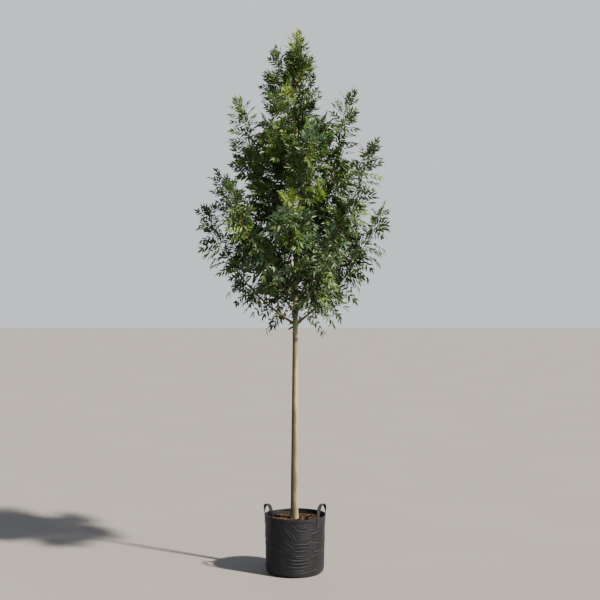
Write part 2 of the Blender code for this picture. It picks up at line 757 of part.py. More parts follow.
def make_handle(name, bearing, webbing):
    points, widths = handle_route(bearing)
    bm = bmesh.new()
    rings = []
    for (tangent, _, _), point, width in zip(frames_along(points), points, widths):
        width = (width - tangent * width.dot(tangent)).normalized() * HANDLE_WIDTH / 2.0
        depth = tangent.cross(width).normalized() * HANDLE_THICKNESS / 2.0
        corners = (point - width - depth, point + width - depth, point + width + depth, point - width + depth)
        rings.append([bm.verts.new(corner) for corner in corners])
    for low, high in zip(rings, rings[1:]):
        for i in range(4):
            j = (i + 1) % 4
            bm.faces.new((low[i], low[j], high[j], high[i]))
    bm.faces.new(rings[0][::-1])
    bm.faces.new(rings[-1])
    return object_from(name, bm, webbing)


def main():
    clear_scene()
    bark = material("bark", (0.26, 0.20, 0.13), 0.85)
    leaf_green = material("leaf", (0.045, 0.085, 0.020), 0.55)
    cloth = material("bag_cloth", (0.020, 0.020, 0.022), 0.85)
    webbing = material("webbing", (0.012, 0.012, 0.013), 0.70)
    earth = material("compost", (0.050, 0.030, 0.020), 0.95)

    make_bag(cloth)
    make_compost(earth)
    for name, bearing in HANDLE_BEARINGS.items():
        make_handle(name, bearing, webbing)
    make_trunk(bark)
    cutter = make_clearance(bark)
    all_limbs = limbs()
    for limb in all_limbs:
        if limb.bare_share:
            make_bough(limb, bark, cutter)
    make_foliage(all_limbs, leaf_green, cutter)


main()
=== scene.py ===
"""The looks of a standard ash in its grow bag: bark, shoots, leaves, cloth, webbing and compost.

Metres, +Z up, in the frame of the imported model. A bearing is in degrees from +X towards +Y, and -Y
is the front. The crown grows from the same table of limbs and by the same rule as the solids: a
stem, twigs in crossed pairs along it, leaves in crossed pairs along those. Here the rule goes on to
fine twigs and to leaves of their real size.
"""

import itertools
import logging
import math
import random
from collections.abc import Callable, Sequence
from dataclasses import dataclass
from enum import Enum

import bpy
import numpy as np
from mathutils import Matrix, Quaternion, Vector
from mathutils.kdtree import KDTree


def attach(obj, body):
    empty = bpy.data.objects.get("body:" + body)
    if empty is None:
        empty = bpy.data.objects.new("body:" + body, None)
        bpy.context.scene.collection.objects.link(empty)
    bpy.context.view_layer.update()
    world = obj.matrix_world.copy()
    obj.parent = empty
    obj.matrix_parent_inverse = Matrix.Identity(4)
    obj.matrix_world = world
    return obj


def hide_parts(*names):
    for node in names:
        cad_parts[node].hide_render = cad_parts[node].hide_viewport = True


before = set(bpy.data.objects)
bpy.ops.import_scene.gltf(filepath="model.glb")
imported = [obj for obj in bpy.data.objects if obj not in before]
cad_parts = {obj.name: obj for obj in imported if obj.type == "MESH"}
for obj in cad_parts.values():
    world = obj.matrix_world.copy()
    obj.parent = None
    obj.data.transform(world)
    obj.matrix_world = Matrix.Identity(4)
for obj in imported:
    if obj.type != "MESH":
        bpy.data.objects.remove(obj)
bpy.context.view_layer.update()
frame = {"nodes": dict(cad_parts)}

LOG = logging.getLogger("standard_ash")
BODY = "root"
UP = Vector((0.0, 0.0, 1.0))
UPWARDS = np.array(UP)

Array = np.ndarray
Range = tuple[float, float]
Colour = tuple[float, float, float]
Relief = Callable[[Array], Array]
Material = bpy.types.Material
Socket = bpy.types.NodeSocket


class Slot(Enum):
    """The record's material slots."""

    BARK = "bark"
    LEAF = "leaf"
    CLOTH = "bag_cloth"
    WEBBING = "webbing"
    COMPOST = "compost"


# ---- numbers


def screen_colours(*values: tuple[int, int, int]) -> list[Colour]:
    """Turns screen values of 0 to 255 into the linear colours that a shader takes.

    Args:
        values: the red, green and blue of each colour.

    Returns:
        The linear colours.
    """
    shares = np.array(values) / 255.0
    linear = np.where(shares <= 0.04045, shares / 12.92, ((shares + 0.055) / 1.055) ** 2.4)
    return [tuple(colour) for colour in linear.tolist()]


def unit(vectors: Array) -> Array:
    """Scales each vector along the last axis to length one."""
    return vectors / np.maximum(np.linalg.norm(vectors, axis=-1, keepdims=True), 1e-12)


def square_to(vectors: Array, way: Array) -> Array:
    """Each vector less its part along a direction, scaled to length one."""
    return unit(vectors - way * (vectors * way).sum(axis=-1, keepdims=True))


def smooth(share: Array) -> Array:
    """Goes smoothly from 0 to 1: t * t * (3 - 2 * t)."""
    return share * share * (3.0 - 2.0 * share)


def full_turn(count: int) -> Array:
    """The angles of points spread evenly round a circle, in radians."""
    return np.arange(count) * 2.0 * math.pi / count


def metres_along(line: Array) -> Array:
    """How far each point of a line lies from its first, measured along it."""
    return np.concatenate([[0.0], np.cumsum(np.linalg.norm(np.diff(line, axis=0), axis=1))])


def level_places(away: Array, turns: Array) -> Array:
    """Places seen from above, at a distance and an angle from the middle."""
    return np.stack([away * np.cos(turns), away * np.sin(turns)], axis=-1)


def raised(places: Array, heights: Array) -> Array:
    """Puts places that are seen from above at their heights."""
    return np.concatenate([places, heights[..., None]], axis=-1)


# Large odd numbers that scatter a whole-number place and a seed into a key
SCATTER = (73856093, 19349663, 83492791, 2654435761)
SCATTER_AGAIN = 1274126177


def lumps(places: Array, seed: int) -> Array:
    """Smooth lumpy noise: a random number at each whole-number place, blended smoothly between them.

    Args:
        places: (..., 3) places, counted in lumps.
        seed: which set of random numbers.

    Returns:
        (...) values from -1 to 1.
    """
    cell = np.floor(places).astype(np.int64)
    part = places - cell
    blend = smooth(part)
    total = np.zeros(places.shape[:-1])
    for corner in itertools.product((0, 1), repeat=3):
        at = cell + np.array(corner)
        across, back, up = np.moveaxis(at * SCATTER[:3], -1, 0)
        key = across ^ back ^ up ^ seed * SCATTER[3]
        key = (key ^ (key >> 13)) * SCATTER_AGAIN
        value = ((key ^ (key >> 16)) & 0xFFFF) / 32767.5 - 1.0
        total += value * np.prod(np.where(corner, blend, 1.0 - blend), axis=-1)
    return total


def layered(points: Array, layers: Sequence[tuple]) -> Array:
    """Adds up layers of lumpy noise, each of (metres, lumps in a metre, seed)."""
    return sum(metres * lumps(points * scales, seed) for metres, scales, seed in layers)


def compass(bearing: float | Array) -> Array:
    """The level direction of a bearing: (cosine, sine, 0)."""
    turn = np.radians(bearing)
    return np.stack([np.cos(turn), np.sin(turn), np.zeros_like(turn)], axis=-1)


def nearest_turn(turns: Array, middle: float) -> Array:
    """How far each angle is from the middle one, the short way round, in radians."""
    return (turns - middle + math.pi) % (2.0 * math.pi) - math.pi


# ---- surfaces


@dataclass
class Shape:
    """Points, and faces in groups.

    A group is (point numbers (k, corners), places on the surface in metres (k, corners, 2) or
    None, number of the finish).
    """

    points: Array
    groups: list[tuple[Array, Array | None, int]]


def grid_faces(rows: int, columns: int) -> tuple[Array, Array]:
    """Four-cornered faces between the points of a grid whose last column meets its first.

    Point (row, column) has the number row * columns + column.

    Args:
        rows: how many rows of points.
        columns: how many points in a row.

    Returns:
        Point numbers (k, 4), and each corner's column and row (k, 4, 2), where a corner past the
        last column counts on.
    """
    row, column = np.meshgrid(np.arange(rows - 1), np.arange(columns), indexing="ij")
    at_row = np.stack([row, row, row + 1, row + 1], axis=-1).reshape(-1, 4)
    at_column = np.stack([column, column + 1, column + 1, column], axis=-1).reshape(-1, 4)
    return at_row * columns + at_column % columns, np.stack([at_column, at_row], axis=-1)


def closed_tubes(
    rings: Array,
    ends: Array | None = None,
    finishes: Sequence[int] = (0,),
    measures: tuple[Array, Array] | None = None,
) -> Shape:
    """Skins a batch of stacked rings, and closes each stack's ends with a fan to a point.

    Args:
        rings: (tubes, rows, columns, 3), anticlockwise round the way that the tube runs.
        ends: (tubes, 2, 3) the two end points; the middles of the end rings where left out.
        finishes: the finish of each column's strip; one for all where it has one number.
        measures: metres round the tube at each column and one past the last, and metres along it
            at each row; no places are kept where left out.

    Returns:
        The closed shape.
    """
    tubes, rows, columns = rings.shape[:3]
    ends = rings[:, [0, -1]].mean(axis=2) if ends is None else ends
    points = np.concatenate([rings.reshape(tubes, -1, 3), ends], axis=1)
    sides, corners = grid_faces(rows, columns)
    around = np.arange(columns)
    onward = (around + 1) % columns
    start = np.stack([np.full(columns, rows * columns), onward, around], axis=-1)
    top = (rows - 1) * columns
    stop = np.stack([np.full(columns, rows * columns + 1), top + around, top + onward], axis=-1)
    offsets = (np.arange(tubes) * (rows * columns + 2))[:, None, None]
    strip_finish = np.resize(np.array(finishes), columns)
    groups = []
    for finish in sorted(set(strip_finish.tolist())):
        strips = np.flatnonzero(strip_finish == finish)
        chosen = np.isin(corners[:, 0, 0], strips)
        fans = np.concatenate([start[strips], stop[strips]])
        fan_columns = np.tile(np.stack([strips, strips + 1, strips], axis=-1), (2, 1))
        fan_rows = np.repeat([0, rows - 1], len(strips))[:, None] * np.ones(3, dtype=int)
        fan_corners = np.stack([fan_columns, fan_rows], axis=-1)
        for faces, at in ((sides[chosen], corners[chosen]), (fans, fan_corners)):
            places = None
            if measures:
                flat = np.stack([measures[axis][at[..., axis]] for axis in range(2)], axis=-1)
                places = np.tile(flat, (tubes, 1, 1))
            groups.append(((faces + offsets).reshape(-1, faces.shape[1]), places, finish))
    return Shape(points.reshape(-1, 3), groups)


STEEPEST = 0.9  # the upward part of a unit direction past which a path counts as upright


def rings_along(paths: Array, radii: Array, columns: int, relief: Relief | None = None) -> Array:
    """Carries a circle along each path: middle + radius * (cos a * side + sin a * other side).

    The side is one fixed direction less its part along the path, so a ring never twists.

    Args:
        paths: (tubes, rows, 3) the middles.
        radii: (tubes, rows) the radius at each.
        columns: points in a ring.
        relief: gives how far each point of the rings stands out.

    Returns:
        (tubes, rows, columns, 3) the rings.
    """
    along = unit(np.gradient(paths, axis=1))
    overall = unit(paths[:, -1] - paths[:, 0])
    steep = np.abs(overall[:, 2:]) > STEEPEST
    guide = np.where(steep, np.array((1.0, 0.0, 0.0)), UPWARDS)
    fixed = unit(np.cross(overall, guide))[:, None]
    side = square_to(fixed, along)
    other = np.cross(along, side)
    turn = full_turn(columns)[:, None]
    outwards = np.cos(turn) * side[:, :, None] + np.sin(turn) * other[:, :, None]
    rings = paths[:, :, None] + outwards * radii[:, :, None, None]
    if relief:
        rings = rings + outwards * relief(rings)[..., None]
    return rings


def resampled(line: Array, count: int) -> Array:
    """The same line with its points spread evenly along its length.

    Args:
        line: (n, 3) points.
        count: how many points to give back.

    Returns:
        (count, 3) points.
    """
    reached = metres_along(line)
    wanted = np.linspace(0.0, reached[-1], count)
    return np.stack([np.interp(wanted, reached, line[:, axis]) for axis in range(3)], axis=-1)


def add_object(name: str, data: bpy.types.ID) -> bpy.types.Object:
    """Puts a mesh, a light or a camera into the scene.

    Args:
        name: the object's name.
        data: the mesh, light or camera.

    Returns:
        The new object.
    """
    made = bpy.data.objects.new(name, data)
    bpy.context.scene.collection.objects.link(made)
    return made


def make_piece(
    name: str,
    shape: Shape,
    finishes: Sequence[Material],
    crease: float,
    stands_for: Sequence[str] = (),
) -> None:
    """Makes one mesh object that rides on the body and takes its finishes.

    Args:
        name: the piece's name.
        shape: its points and faces.
        finishes: its materials, in the order that the shape's finish numbers count.
        crease: degrees past which an edge is shaded sharp.
        stands_for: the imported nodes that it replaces.
    """
    groups = [group for group in shape.groups if len(group[0])]
    mesh = bpy.data.meshes.new(name)
    mesh.vertices.add(len(shape.points))
    mesh.vertices.foreach_set("co", shape.points.astype(np.float32).ravel())
    numbers = np.concatenate([faces.ravel() for faces, _, _ in groups]).astype(np.int32)
    counts = np.concatenate([np.full(len(faces), faces.shape[1]) for faces, _, _ in groups])
    mesh.loops.add(len(numbers))
    mesh.loops.foreach_set("vertex_index", numbers)
    mesh.polygons.add(len(counts))
    starts = np.concatenate([[0], np.cumsum(counts)[:-1]]).astype(np.int32)
    mesh.polygons.foreach_set("loop_start", starts)
    numbered = np.concatenate([np.full(len(faces), finish) for faces, _, finish in groups])
    mesh.polygons.foreach_set("material_index", numbered.astype(np.int32))
    if groups[0][1] is not None:
        layer = mesh.uv_layers.new(name="metres")
        flat = np.concatenate([places.reshape(-1, 2) for _, places, _ in groups])
        layer.uv.foreach_set("vector", flat.astype(np.float32).ravel())
    mesh.update(calc_edges=True)
    mesh.validate()
    for finish in finishes:
        mesh.materials.append(finish)
    mesh.shade_smooth()
    mesh.set_sharp_from_angle(angle=math.radians(crease))
    piece = add_object(name, mesh)
    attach(piece, BODY)
    if stands_for:
        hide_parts(*stands_for)
    mesh.calc_loop_triangles()
    LOG.info("%s: %d triangles", name, len(mesh.loop_triangles))


STITCH_ROWS = 5


def stitch_lines(ends: Array, arch: float, sunk: float) -> tuple[Array, Array]:
    """Places along stitches, and how far they stand out: an arch with its ends sunk in, in metres."""
    share = np.linspace(0.0, 1.0, STITCH_ROWS)[None, :, None]
    return ends[:, :1] + (ends[:, 1:] - ends[:, :1]) * share, arch * np.sin(math.pi * share[..., 0]) - sunk


def sew(name: str, paths: Array, radius: float, thread: Material) -> None:
    """Makes stitches of round thread along their paths."""
    rings = rings_along(paths, np.full(paths.shape[:2], radius), 5)
    make_piece(name, closed_tubes(rings), [thread], 80.0)


# ---- shaders


@dataclass
class Value:
    """A node's output: a number that varies over a surface, with Python's operators."""

    graph: "Nodes"
    socket: Socket

    def __add__(self, other: "Value | float") -> "Value":
        """Self plus other."""
        return self.graph.maths("ADD", self, other)

    def __rsub__(self, other: float) -> "Value":
        """Other less self."""
        return self.graph.maths("SUBTRACT", other, self)

    def __mul__(self, other: "Value | float") -> "Value":
        """Self times other."""
        return self.graph.maths("MULTIPLY", self, other)

    def sine(self) -> "Value":
        """The sine of self, in radians."""
        return self.graph.maths("SINE", self)

    def size(self) -> "Value":
        """Self without its sign."""
        return self.graph.maths("ABSOLUTE", self)

    def rising(self, low: float, high: float) -> "Value":
        """Goes smoothly from 0 at low to 1 at high.

        Args:
            low: where the rise starts.
            high: where it ends.

        Returns:
            The new value.
        """
        values = {"Value": self, "From Min": low, "From Max": high}
        ramp = self.graph.node("ShaderNodeMapRange", {"interpolation_type": "SMOOTHSTEP"}, values)
        return Value(self.graph, ramp.outputs["Result"])


Input = Value | Socket | float | tuple


@dataclass
class Nodes:
    """Makes and links the nodes of one tree."""

    tree: bpy.types.NodeTree

    def give(self, socket: Socket, value: Input) -> None:
        """Links a value to a socket, or sets it there where it is a plain number or colour.

        Args:
            socket: the input that gets it.
            value: what it gets.
        """
        value = value.socket if isinstance(value, Value) else value
        if isinstance(value, Socket):
            self.tree.links.new(value, socket)
        elif isinstance(value, tuple) and socket.type == "RGBA":
            socket.default_value = (*value, 1.0)
        else:
            socket.default_value = value

    def node(self, kind: str, settings: dict | None = None, values: dict | None = None) -> bpy.types.Node:
        """Adds a node.

        Args:
            kind: the node's type.
            settings: its properties, set first.
            values: what its sockets get, by socket name or number.

        Returns:
            The node.
        """
        made = self.tree.nodes.new(kind)
        for name, setting in (settings or {}).items():
            setattr(made, name, setting)
        for socket, value in (values or {}).items():
            self.give(made.inputs[socket], value)
        return made

    def maths(self, operation: str, *numbers: "Value | float") -> Value:
        """One Math node on one or two numbers."""
        made = self.node("ShaderNodeMath", {"operation": operation}, dict(enumerate(numbers)))
        return Value(self, made.outputs[0])

    def parts(self, vector: Socket) -> tuple[Value, Value, Value]:
        """The X, Y and Z of a vector."""
        apart = self.node("ShaderNodeSeparateXYZ", None, {0: vector})
        return tuple(Value(self, output) for output in apart.outputs)


class Graph(Nodes):
    """The nodes of one material."""

    def __init__(self, name: str, roughness: float, specular: float = 0.5, sheen: float = 0.0) -> None:
        """Starts a Principled material with its constant values set on their own sockets.

        Args:
            name: the material's name.
            roughness: its roughness.
            specular: how strongly it reflects.
            sheen: how strong its sheen is.
        """
        self.material = bpy.data.materials.new(name)
        self.material.use_nodes = True
        super().__init__(self.material.node_tree)
        self.shader = self.tree.nodes["Principled BSDF"]
        self.shader.inputs["Roughness"].default_value = roughness
        self.shader.inputs["Specular IOR Level"].default_value = specular
        self.shader.inputs["Sheen Weight"].default_value = sheen

    def place(self) -> Socket:
        """The point on the object, in metres."""
        return self.node("ShaderNodeTexCoord").outputs["Object"]

    def measured(self) -> tuple[Value, Value]:
        """The piece's own UV places in metres: round it, and along it."""
        around, along, _ = self.parts(self.node("ShaderNodeTexCoord").outputs["UV"])
        return around, along

    def noise(self, scales: tuple[float, float, float], detail: float = 2.0) -> Value:
        """Cloudy noise on the object's own places.

        Args:
            scales: how many lumps there are in a metre along X, Y and Z.
            detail: how many finer layers are laid over the first.

        Returns:
            Values round 0.5.
        """
        stretched = self.node("ShaderNodeMapping", None, {"Vector": self.place(), "Scale": scales})
        values = {"Vector": stretched.outputs[0], "Scale": 1.0, "Detail": detail}
        return Value(self, self.node("ShaderNodeTexNoise", None, values).outputs[0])

    def mix(self, factor: Input, low: Input, high: Input) -> Socket:
        """A colour between two: low where the factor is 0 and high where it is 1."""
        made = self.node("ShaderNodeMix", {"data_type": "RGBA"}, {0: factor, 6: low, 7: high})
        return made.outputs[2]

    def paint(self, colour: Input) -> None:
        """Gives the surface its colour."""
        self.give(self.shader.inputs["Base Color"], colour)

    def emboss(self, height: Value, strength: float, depth: float) -> None:
        """Raises the shading by a height of 0 to 1, where 1 stands for a depth in metres."""
        values = {"Strength": strength, "Distance": depth, "Height": height}
        self.give(self.shader.inputs["Normal"], self.node("ShaderNodeBump", None, values).outputs[0])


# ---- finishes


@dataclass(frozen=True)
class BarkFinish:
    """Smooth young bark: pale, clouded with green-grey, crossed by short level lenticels.

    A darker green-grey film may lie on the side away from the sun: partly algae, partly painted shade.
    """

    name: str
    pale: Colour
    clouded: Colour
    marks: Colour
    coarseness: float = 1.0
    algae_and_shade: Colour | None = None
    algae_and_shade_way: Range = (-0.94, -0.34)  # the way that its side faces
    algae_and_shade_edges: Range = (-0.012, 0.017)  # metres from the stem's middle
    algae_and_shade_border: float = 0.008  # metres that clouds shift its border
    algae_and_shade_most: float = 0.85

    def material(self) -> Material:
        """Builds the material.

        Returns:
            The material.
        """
        graph = Graph(self.name, roughness=0.78, specular=0.35)
        size = 1.0 / self.coarseness
        clouds = graph.noise((15.0 * size, 15.0 * size, 6.0 * size), detail=4.0).rising(0.36, 0.66)
        grain = graph.noise((330.0 * size, 330.0 * size, 46.0 * size), detail=3.0)
        specks = graph.noise((95.0 * size, 95.0 * size, 150.0 * size), detail=3.0).rising(0.50, 0.72)
        lenticels = graph.noise((85.0 * size, 85.0 * size, 520.0 * size), detail=1.0).rising(0.58, 0.68)
        colour = graph.mix(clouds, self.pale, self.clouded)
        colour = graph.mix(grain.rising(0.40, 0.75) * 0.30, colour, self.marks)
        colour = graph.mix(specks * 0.45, colour, self.clouded)
        # painted shade, partly algae: the bark darkens on the side away from the sun
        if self.algae_and_shade:
            colour = graph.mix(self.algae_and_shade_cover(graph, clouds), colour, self.algae_and_shade)
        graph.paint(graph.mix(lenticels * 0.50, colour, self.marks))
        graph.emboss(grain * 0.5 + lenticels * 0.7 + specks * 0.3, 0.5, 0.0012)
        return graph.material

    def algae_and_shade_cover(self, graph: Graph, clouds: Value) -> Value:
        """How thick the algae and painted shade is: none on the sunny side, most on the other, with a
        cloudy border.

        Args:
            graph: the material's nodes.
            clouds: cloudy noise that breaks up the border.

        Returns:
            A share of 0 to 1.
        """
        across, back, _ = graph.parts(graph.place())
        way = across * self.algae_and_shade_way[0] + back * self.algae_and_shade_way[1]
        return (way + clouds * self.algae_and_shade_border).rising(*self.algae_and_shade_edges) * self.algae_and_shade_most


@dataclass(frozen=True)
class LeafFinish:
    """One side of a leaf: its colour drifts a little from one spray to the next."""

    name: str
    colour: Colour
    drift: Colour
    roughness: float

    def material(self) -> Material:
        """Builds the material.

        Returns:
            The material.
        """
        graph = Graph(self.name, roughness=self.roughness, specular=0.42)
        wide = graph.noise((7.0, 7.0, 7.0)).rising(0.35, 0.65)
        close = graph.noise((170.0, 170.0, 170.0))
        graph.paint(graph.mix(wide * 0.6 + close.rising(0.3, 0.7) * 0.4, self.colour, self.drift))
        graph.emboss(close, 0.35, 0.0015)
        return graph.material


@dataclass(frozen=True)
class ClothFinish:
    """Black woven cloth: crossed threads, a soft fuzz, and dust towards its lower edge."""

    name: str
    black: Colour
    worn: Colour
    dust: Colour
    thread: float = 0.0021

    def material(self) -> Material:
        """Builds the material.

        Returns:
            The material.
        """
        graph = Graph(self.name, roughness=0.50, specular=0.30, sheen=0.02)
        around, along = graph.measured()
        turns = 2.0 * math.pi / self.thread
        weave = (around * turns).sine() * (along * turns).sine()
        patches = graph.noise((16.0, 16.0, 22.0), detail=4.0).rising(0.38, 0.68)
        fuzz = graph.noise((900.0, 900.0, 900.0))
        level, upright = graph.noise((60.0, 60.0, 900.0), 1.0), graph.noise((800.0, 800.0, 40.0), 1.0)
        threads = level + upright
        crinkles = graph.noise((20.0, 20.0, 105.0), detail=5.0)
        _, _, height = graph.parts(graph.place())
        low = 1.0 - height.rising(0.0, 0.07)
        colour = graph.mix(patches * 0.6, self.black, self.worn)
        colour = graph.mix(weave.rising(-0.2, 1.0) * 0.35, colour, self.worn)
        graph.paint(graph.mix(low * patches * 0.35, colour, self.dust))
        graph.emboss(weave * 0.5 + threads * 0.35 + fuzz * 0.3 + crinkles * 4.0, 0.55, 0.0011)
        return graph.material


@dataclass(frozen=True)
class WebbingFinish:
    """Woven strap: slanting ribs that meet in a herringbone, and a plain edge."""

    name: str
    black: Colour
    worn: Colour
    rib: float = 0.0032
    herringbone: float = 0.012
    fine_thread: float = 0.0015

    def material(self) -> Material:
        """Builds the material.

        Returns:
            The material.
        """
        graph = Graph(self.name, roughness=0.55, specular=0.25, sheen=0.05)
        around, along = graph.measured()
        turns = 2.0 * math.pi / self.rib
        fold = (around * (2.0 * math.pi / self.herringbone)).sine().size()
        ribs = (along * turns + fold * 3.0).sine()
        fine = (around * (2.0 * math.pi / self.fine_thread)).sine()
        patches = graph.noise((30.0, 30.0, 30.0), detail=3.0).rising(0.40, 0.70)
        colour = graph.mix(patches * 0.6, self.black, self.worn)
        graph.paint(graph.mix(ribs.rising(0.0, 1.0) * 0.4, colour, self.worn))
        graph.emboss(ribs * 0.5 + fine * 0.3, 0.6, 0.0009)
        return graph.material


@dataclass(frozen=True)
class MatterFinish:
    """Plain grainy matter, such as thread, compost or a chip of bark."""

    name: str
    colour: Colour
    other: Colour
    lumps_per_metre: float
    roughness: float = 0.9
    grain: float = 0.5
    finer: float = 9.0  # times smaller, for the fine lumps

    def material(self) -> Material:
        """Builds the material.

        Returns:
            The material.
        """
        graph = Graph(self.name, roughness=self.roughness, specular=0.25)
        wide = graph.noise((self.lumps_per_metre,) * 3, detail=4.0)
        close = graph.noise((self.lumps_per_metre * self.finer,) * 3, detail=3.0)
        share = wide.rising(0.36, 0.64) * 0.7 + close.rising(0.4, 0.7) * 0.3
        graph.paint(graph.mix(share, self.colour, self.other))
        graph.emboss(close, self.grain, 0.002)
        return graph.material


# ---- stems


@dataclass(frozen=True)
class Trunk:
    """The clear stem and its run up through the crown to the leading shoot's tip."""

    foot: float = 0.345
    buried: float = 0.010
    tree_height: float = 3.500
    tip: float = 3.405
    foot_radius: float = 0.0240
    taper_power: float = 0.75
    flare: float = 0.0042
    flare_height: float = 0.030
    foot_offset: float = -0.005
    lean: float = 0.018
    sway: float = 0.004
    row_gap: float = 0.0045
    columns: int = 56
    scar_heights: tuple[float, ...] = (0.63, 0.86, 1.02, 1.21, 1.33, 1.46)
    scar_turn: float = 98.0
    scar_size: float = 0.0075
    scar_relief: float = 0.0011
    root_relief: float = 0.0022
    root_height: float = 0.035
    # How far the bark stands out, in layers: metres, lumps in a metre along X, Y and Z, and seed
    layers: tuple[tuple, ...] = (
        (0.00055, (22.0, 22.0, 11.0), 3),
        (0.00030, (260.0, 260.0, 45.0), 5),
        (0.00022, (70.0, 70.0, 380.0), 7),
    )

    def axis(self, heights: Array) -> Array:
        """The stem's middle: a straight lean with a slow sway across it.

        Args:
            heights: (n,) heights.

        Returns:
            (n, 3) points.
        """
        rise = (heights - self.foot) / (self.tree_height - self.foot)
        across = self.foot_offset + self.lean * rise
        return np.stack([across, self.sway * np.sin(2.0 * math.pi * rise), heights], axis=-1)

    def radius(self, heights: Array) -> Array:
        """Foot radius * (1 - rise) ** power, and a flare that dies away above the compost.

        Args:
            heights: (n,) heights.

        Returns:
            (n,) radii.
        """
        rise = np.clip((heights - self.foot) / (self.tree_height - self.foot), 0.0, 1.0)
        flare = self.flare * np.exp(-np.maximum(heights - self.foot, 0.0) / self.flare_height)
        return self.foot_radius * (1.0 - rise) ** self.taper_power + flare

    def relief(self, points: Array) -> Array:
        """How far the bark stands out: its layers, five roots at the foot, and healed scars.

        Args:
            points: (..., 3) points of the plain stem.

        Returns:
            (...) metres.
        """
        heights = points[..., 2]
        slimness = np.clip(self.radius(heights.ravel()).reshape(heights.shape) / self.foot_radius, 0.2, 1.0)
        roots = self.root_relief * np.exp(-np.maximum(heights - self.foot, 0.0) / self.root_height)
        roots = roots * np.cos(5.0 * np.arctan2(points[..., 1], points[..., 0] - self.foot_offset) + 0.7)
        total = layered(points, self.layers) * slimness + roots
        for number, height in enumerate(self.scar_heights):
            bearing = compass(number * self.scar_turn)
            middle = self.axis(np.array([height]))[0] + bearing * self.radius(np.array([height]))
            apart = np.linalg.norm((points - middle) * (1.0, 1.0, 0.8), axis=-1) / self.scar_size
            total = total + self.scar_relief * (np.exp(-apart**2) - 0.7 * np.exp(-((apart / 0.45) ** 2)))
        return total

    def build(self, bark: Material) -> None:
        """Makes the stem's mesh in place of the solid one.

        Args:
            bark: its material.
        """
        start = self.foot - self.buried
        heights = np.linspace(start, self.tip, round((self.tip - start) / self.row_gap) + 1)
        path = self.axis(heights)[None]
        rings = rings_along(path, self.radius(heights)[None], self.columns, self.relief)
        make_piece("trunk_bark", closed_tubes(rings), [bark], 60.0, ["trunk"])


@dataclass(frozen=True)
class Limb:
    """One limb: where it leaves the trunk and ends, which way it goes, where its leaves start."""

    name: str
    foot: float
    bearing: float
    reach: float
    tip: float
    bare_share: float
    bow: float = 0.06

    def line(self, trunk: Trunk, count: int) -> Array:
        """Foot to tip in a straight line, plus bow * length * sin(pi * share) square to it.

        Args:
            trunk: the stem that it leaves.
            count: how many points.

        Returns:
            (count, 3) points.
        """
        shares = np.linspace(0.0, 1.0, count)[:, None]
        foot = trunk.axis(np.array([self.foot]))[0]
        outward = compass(self.bearing)
        tip = np.array((foot[0], foot[1], self.tip)) + outward * self.reach
        span = tip - foot
        square = unit(outward - span * (outward @ span) / (span @ span))
        return foot + span * shares + square * self.bow * np.linalg.norm(span) * np.sin(math.pi * shares)


# Opposite pairs, each turned from the one below: foot height, bearing of the first limb,
# reach and tip height of the first limb and of the one opposite, bare share
LIMB_PAIRS = (
    (1.58, -3.0, (0.47, 2.13), (0.45, 2.03), 0.34),
    (1.655, -68.0, (0.4, 1.9), (0.4, 1.93), 0.3),
    (1.735, 44.0, (0.44, 2.15), (0.43, 2.18), 0.36),
    (1.83, -24.0, (0.43, 2.45), (0.43, 2.3), 0.4),
    (1.885, 72.0, (0.15, 2.06), (0.15, 2.05), 0.0),
    (1.95, 86.0, (0.39, 2.35), (0.37, 2.22), 0.38),
    (2.06, 18.0, (0.31, 2.85), (0.31, 2.75), 0.38),
    (2.13, -50.0, (0.15, 2.31), (0.15, 2.3), 0.0),
    (2.21, -72.0, (0.3, 2.64), (0.3, 2.62), 0.34),
    (2.36, 62.0, (0.23, 2.76), (0.23, 2.81), 0.3),
    (2.43, -15.0, (0.15, 2.62), (0.15, 2.61), 0.0),
    (2.56, -34.0, (0.19, 2.82), (0.2, 2.8), 0.0),
    (2.7, 70.0, (0.13, 2.95), (0.13, 2.93), 0.0),
    (2.85, 12.0, (0.09, 3.08), (0.1, 3.12), 0.0),
)


def limbs() -> list[Limb]:
    """Both limbs of each pair.

    Returns:
        The limbs, from the lowest up.
    """
    made = []
    for number, (foot, bearing, first, second, bare) in enumerate(LIMB_PAIRS, start=1):
        for letter, turn, (reach, tip) in (("a", 0.0, first), ("b", 180.0, second)):
            made.append(Limb(f"{number:02d}{letter}", foot, bearing + turn, reach, tip, bare))
    return made


@dataclass
class Shoot:
    """A growing line of wood that thins towards its tip."""

    line: Array
    foot_radius: float
    tip_radius: float
    start: float = 0.0  # metres along it where its leaves start

    STEP = 0.002  # metres over which its direction is taken

    def __post_init__(self) -> None:
        """Measures the line."""
        self.reached = metres_along(self.line)
        self.length = float(self.reached[-1])

    def radius(self, share: float | Array) -> float | Array:
        """Its radius at a share of its length, thinning evenly."""
        return self.foot_radius + (self.tip_radius - self.foot_radius) * share

    def at(self, distance: float) -> tuple[Vector, Vector]:
        """The point that far along, and the way it heads there.

        Args:
            distance: metres from the foot.

        Returns:
            The point and the direction.
        """
        start = min(distance, self.length - self.STEP)
        here, ahead = (
            Vector([float(np.interp(along, self.reached, self.line[:, axis])) for axis in range(3)])
            for along in (start, start + self.STEP)
        )
        return here, (ahead - here).normalized()


# ---- leaves


class Tint(Enum):
    """The colours of the sprays of leaves, each dealt to whole sprays."""

    # Painted shade: dealt only to sprays inside the crown, low down or away from the sun
    SHADE = "shade"
    DEEP = "deep"
    MIDDLE = "middle"
    FRESH = "fresh"
    YOUNG = "young"
    GREY = "grey"


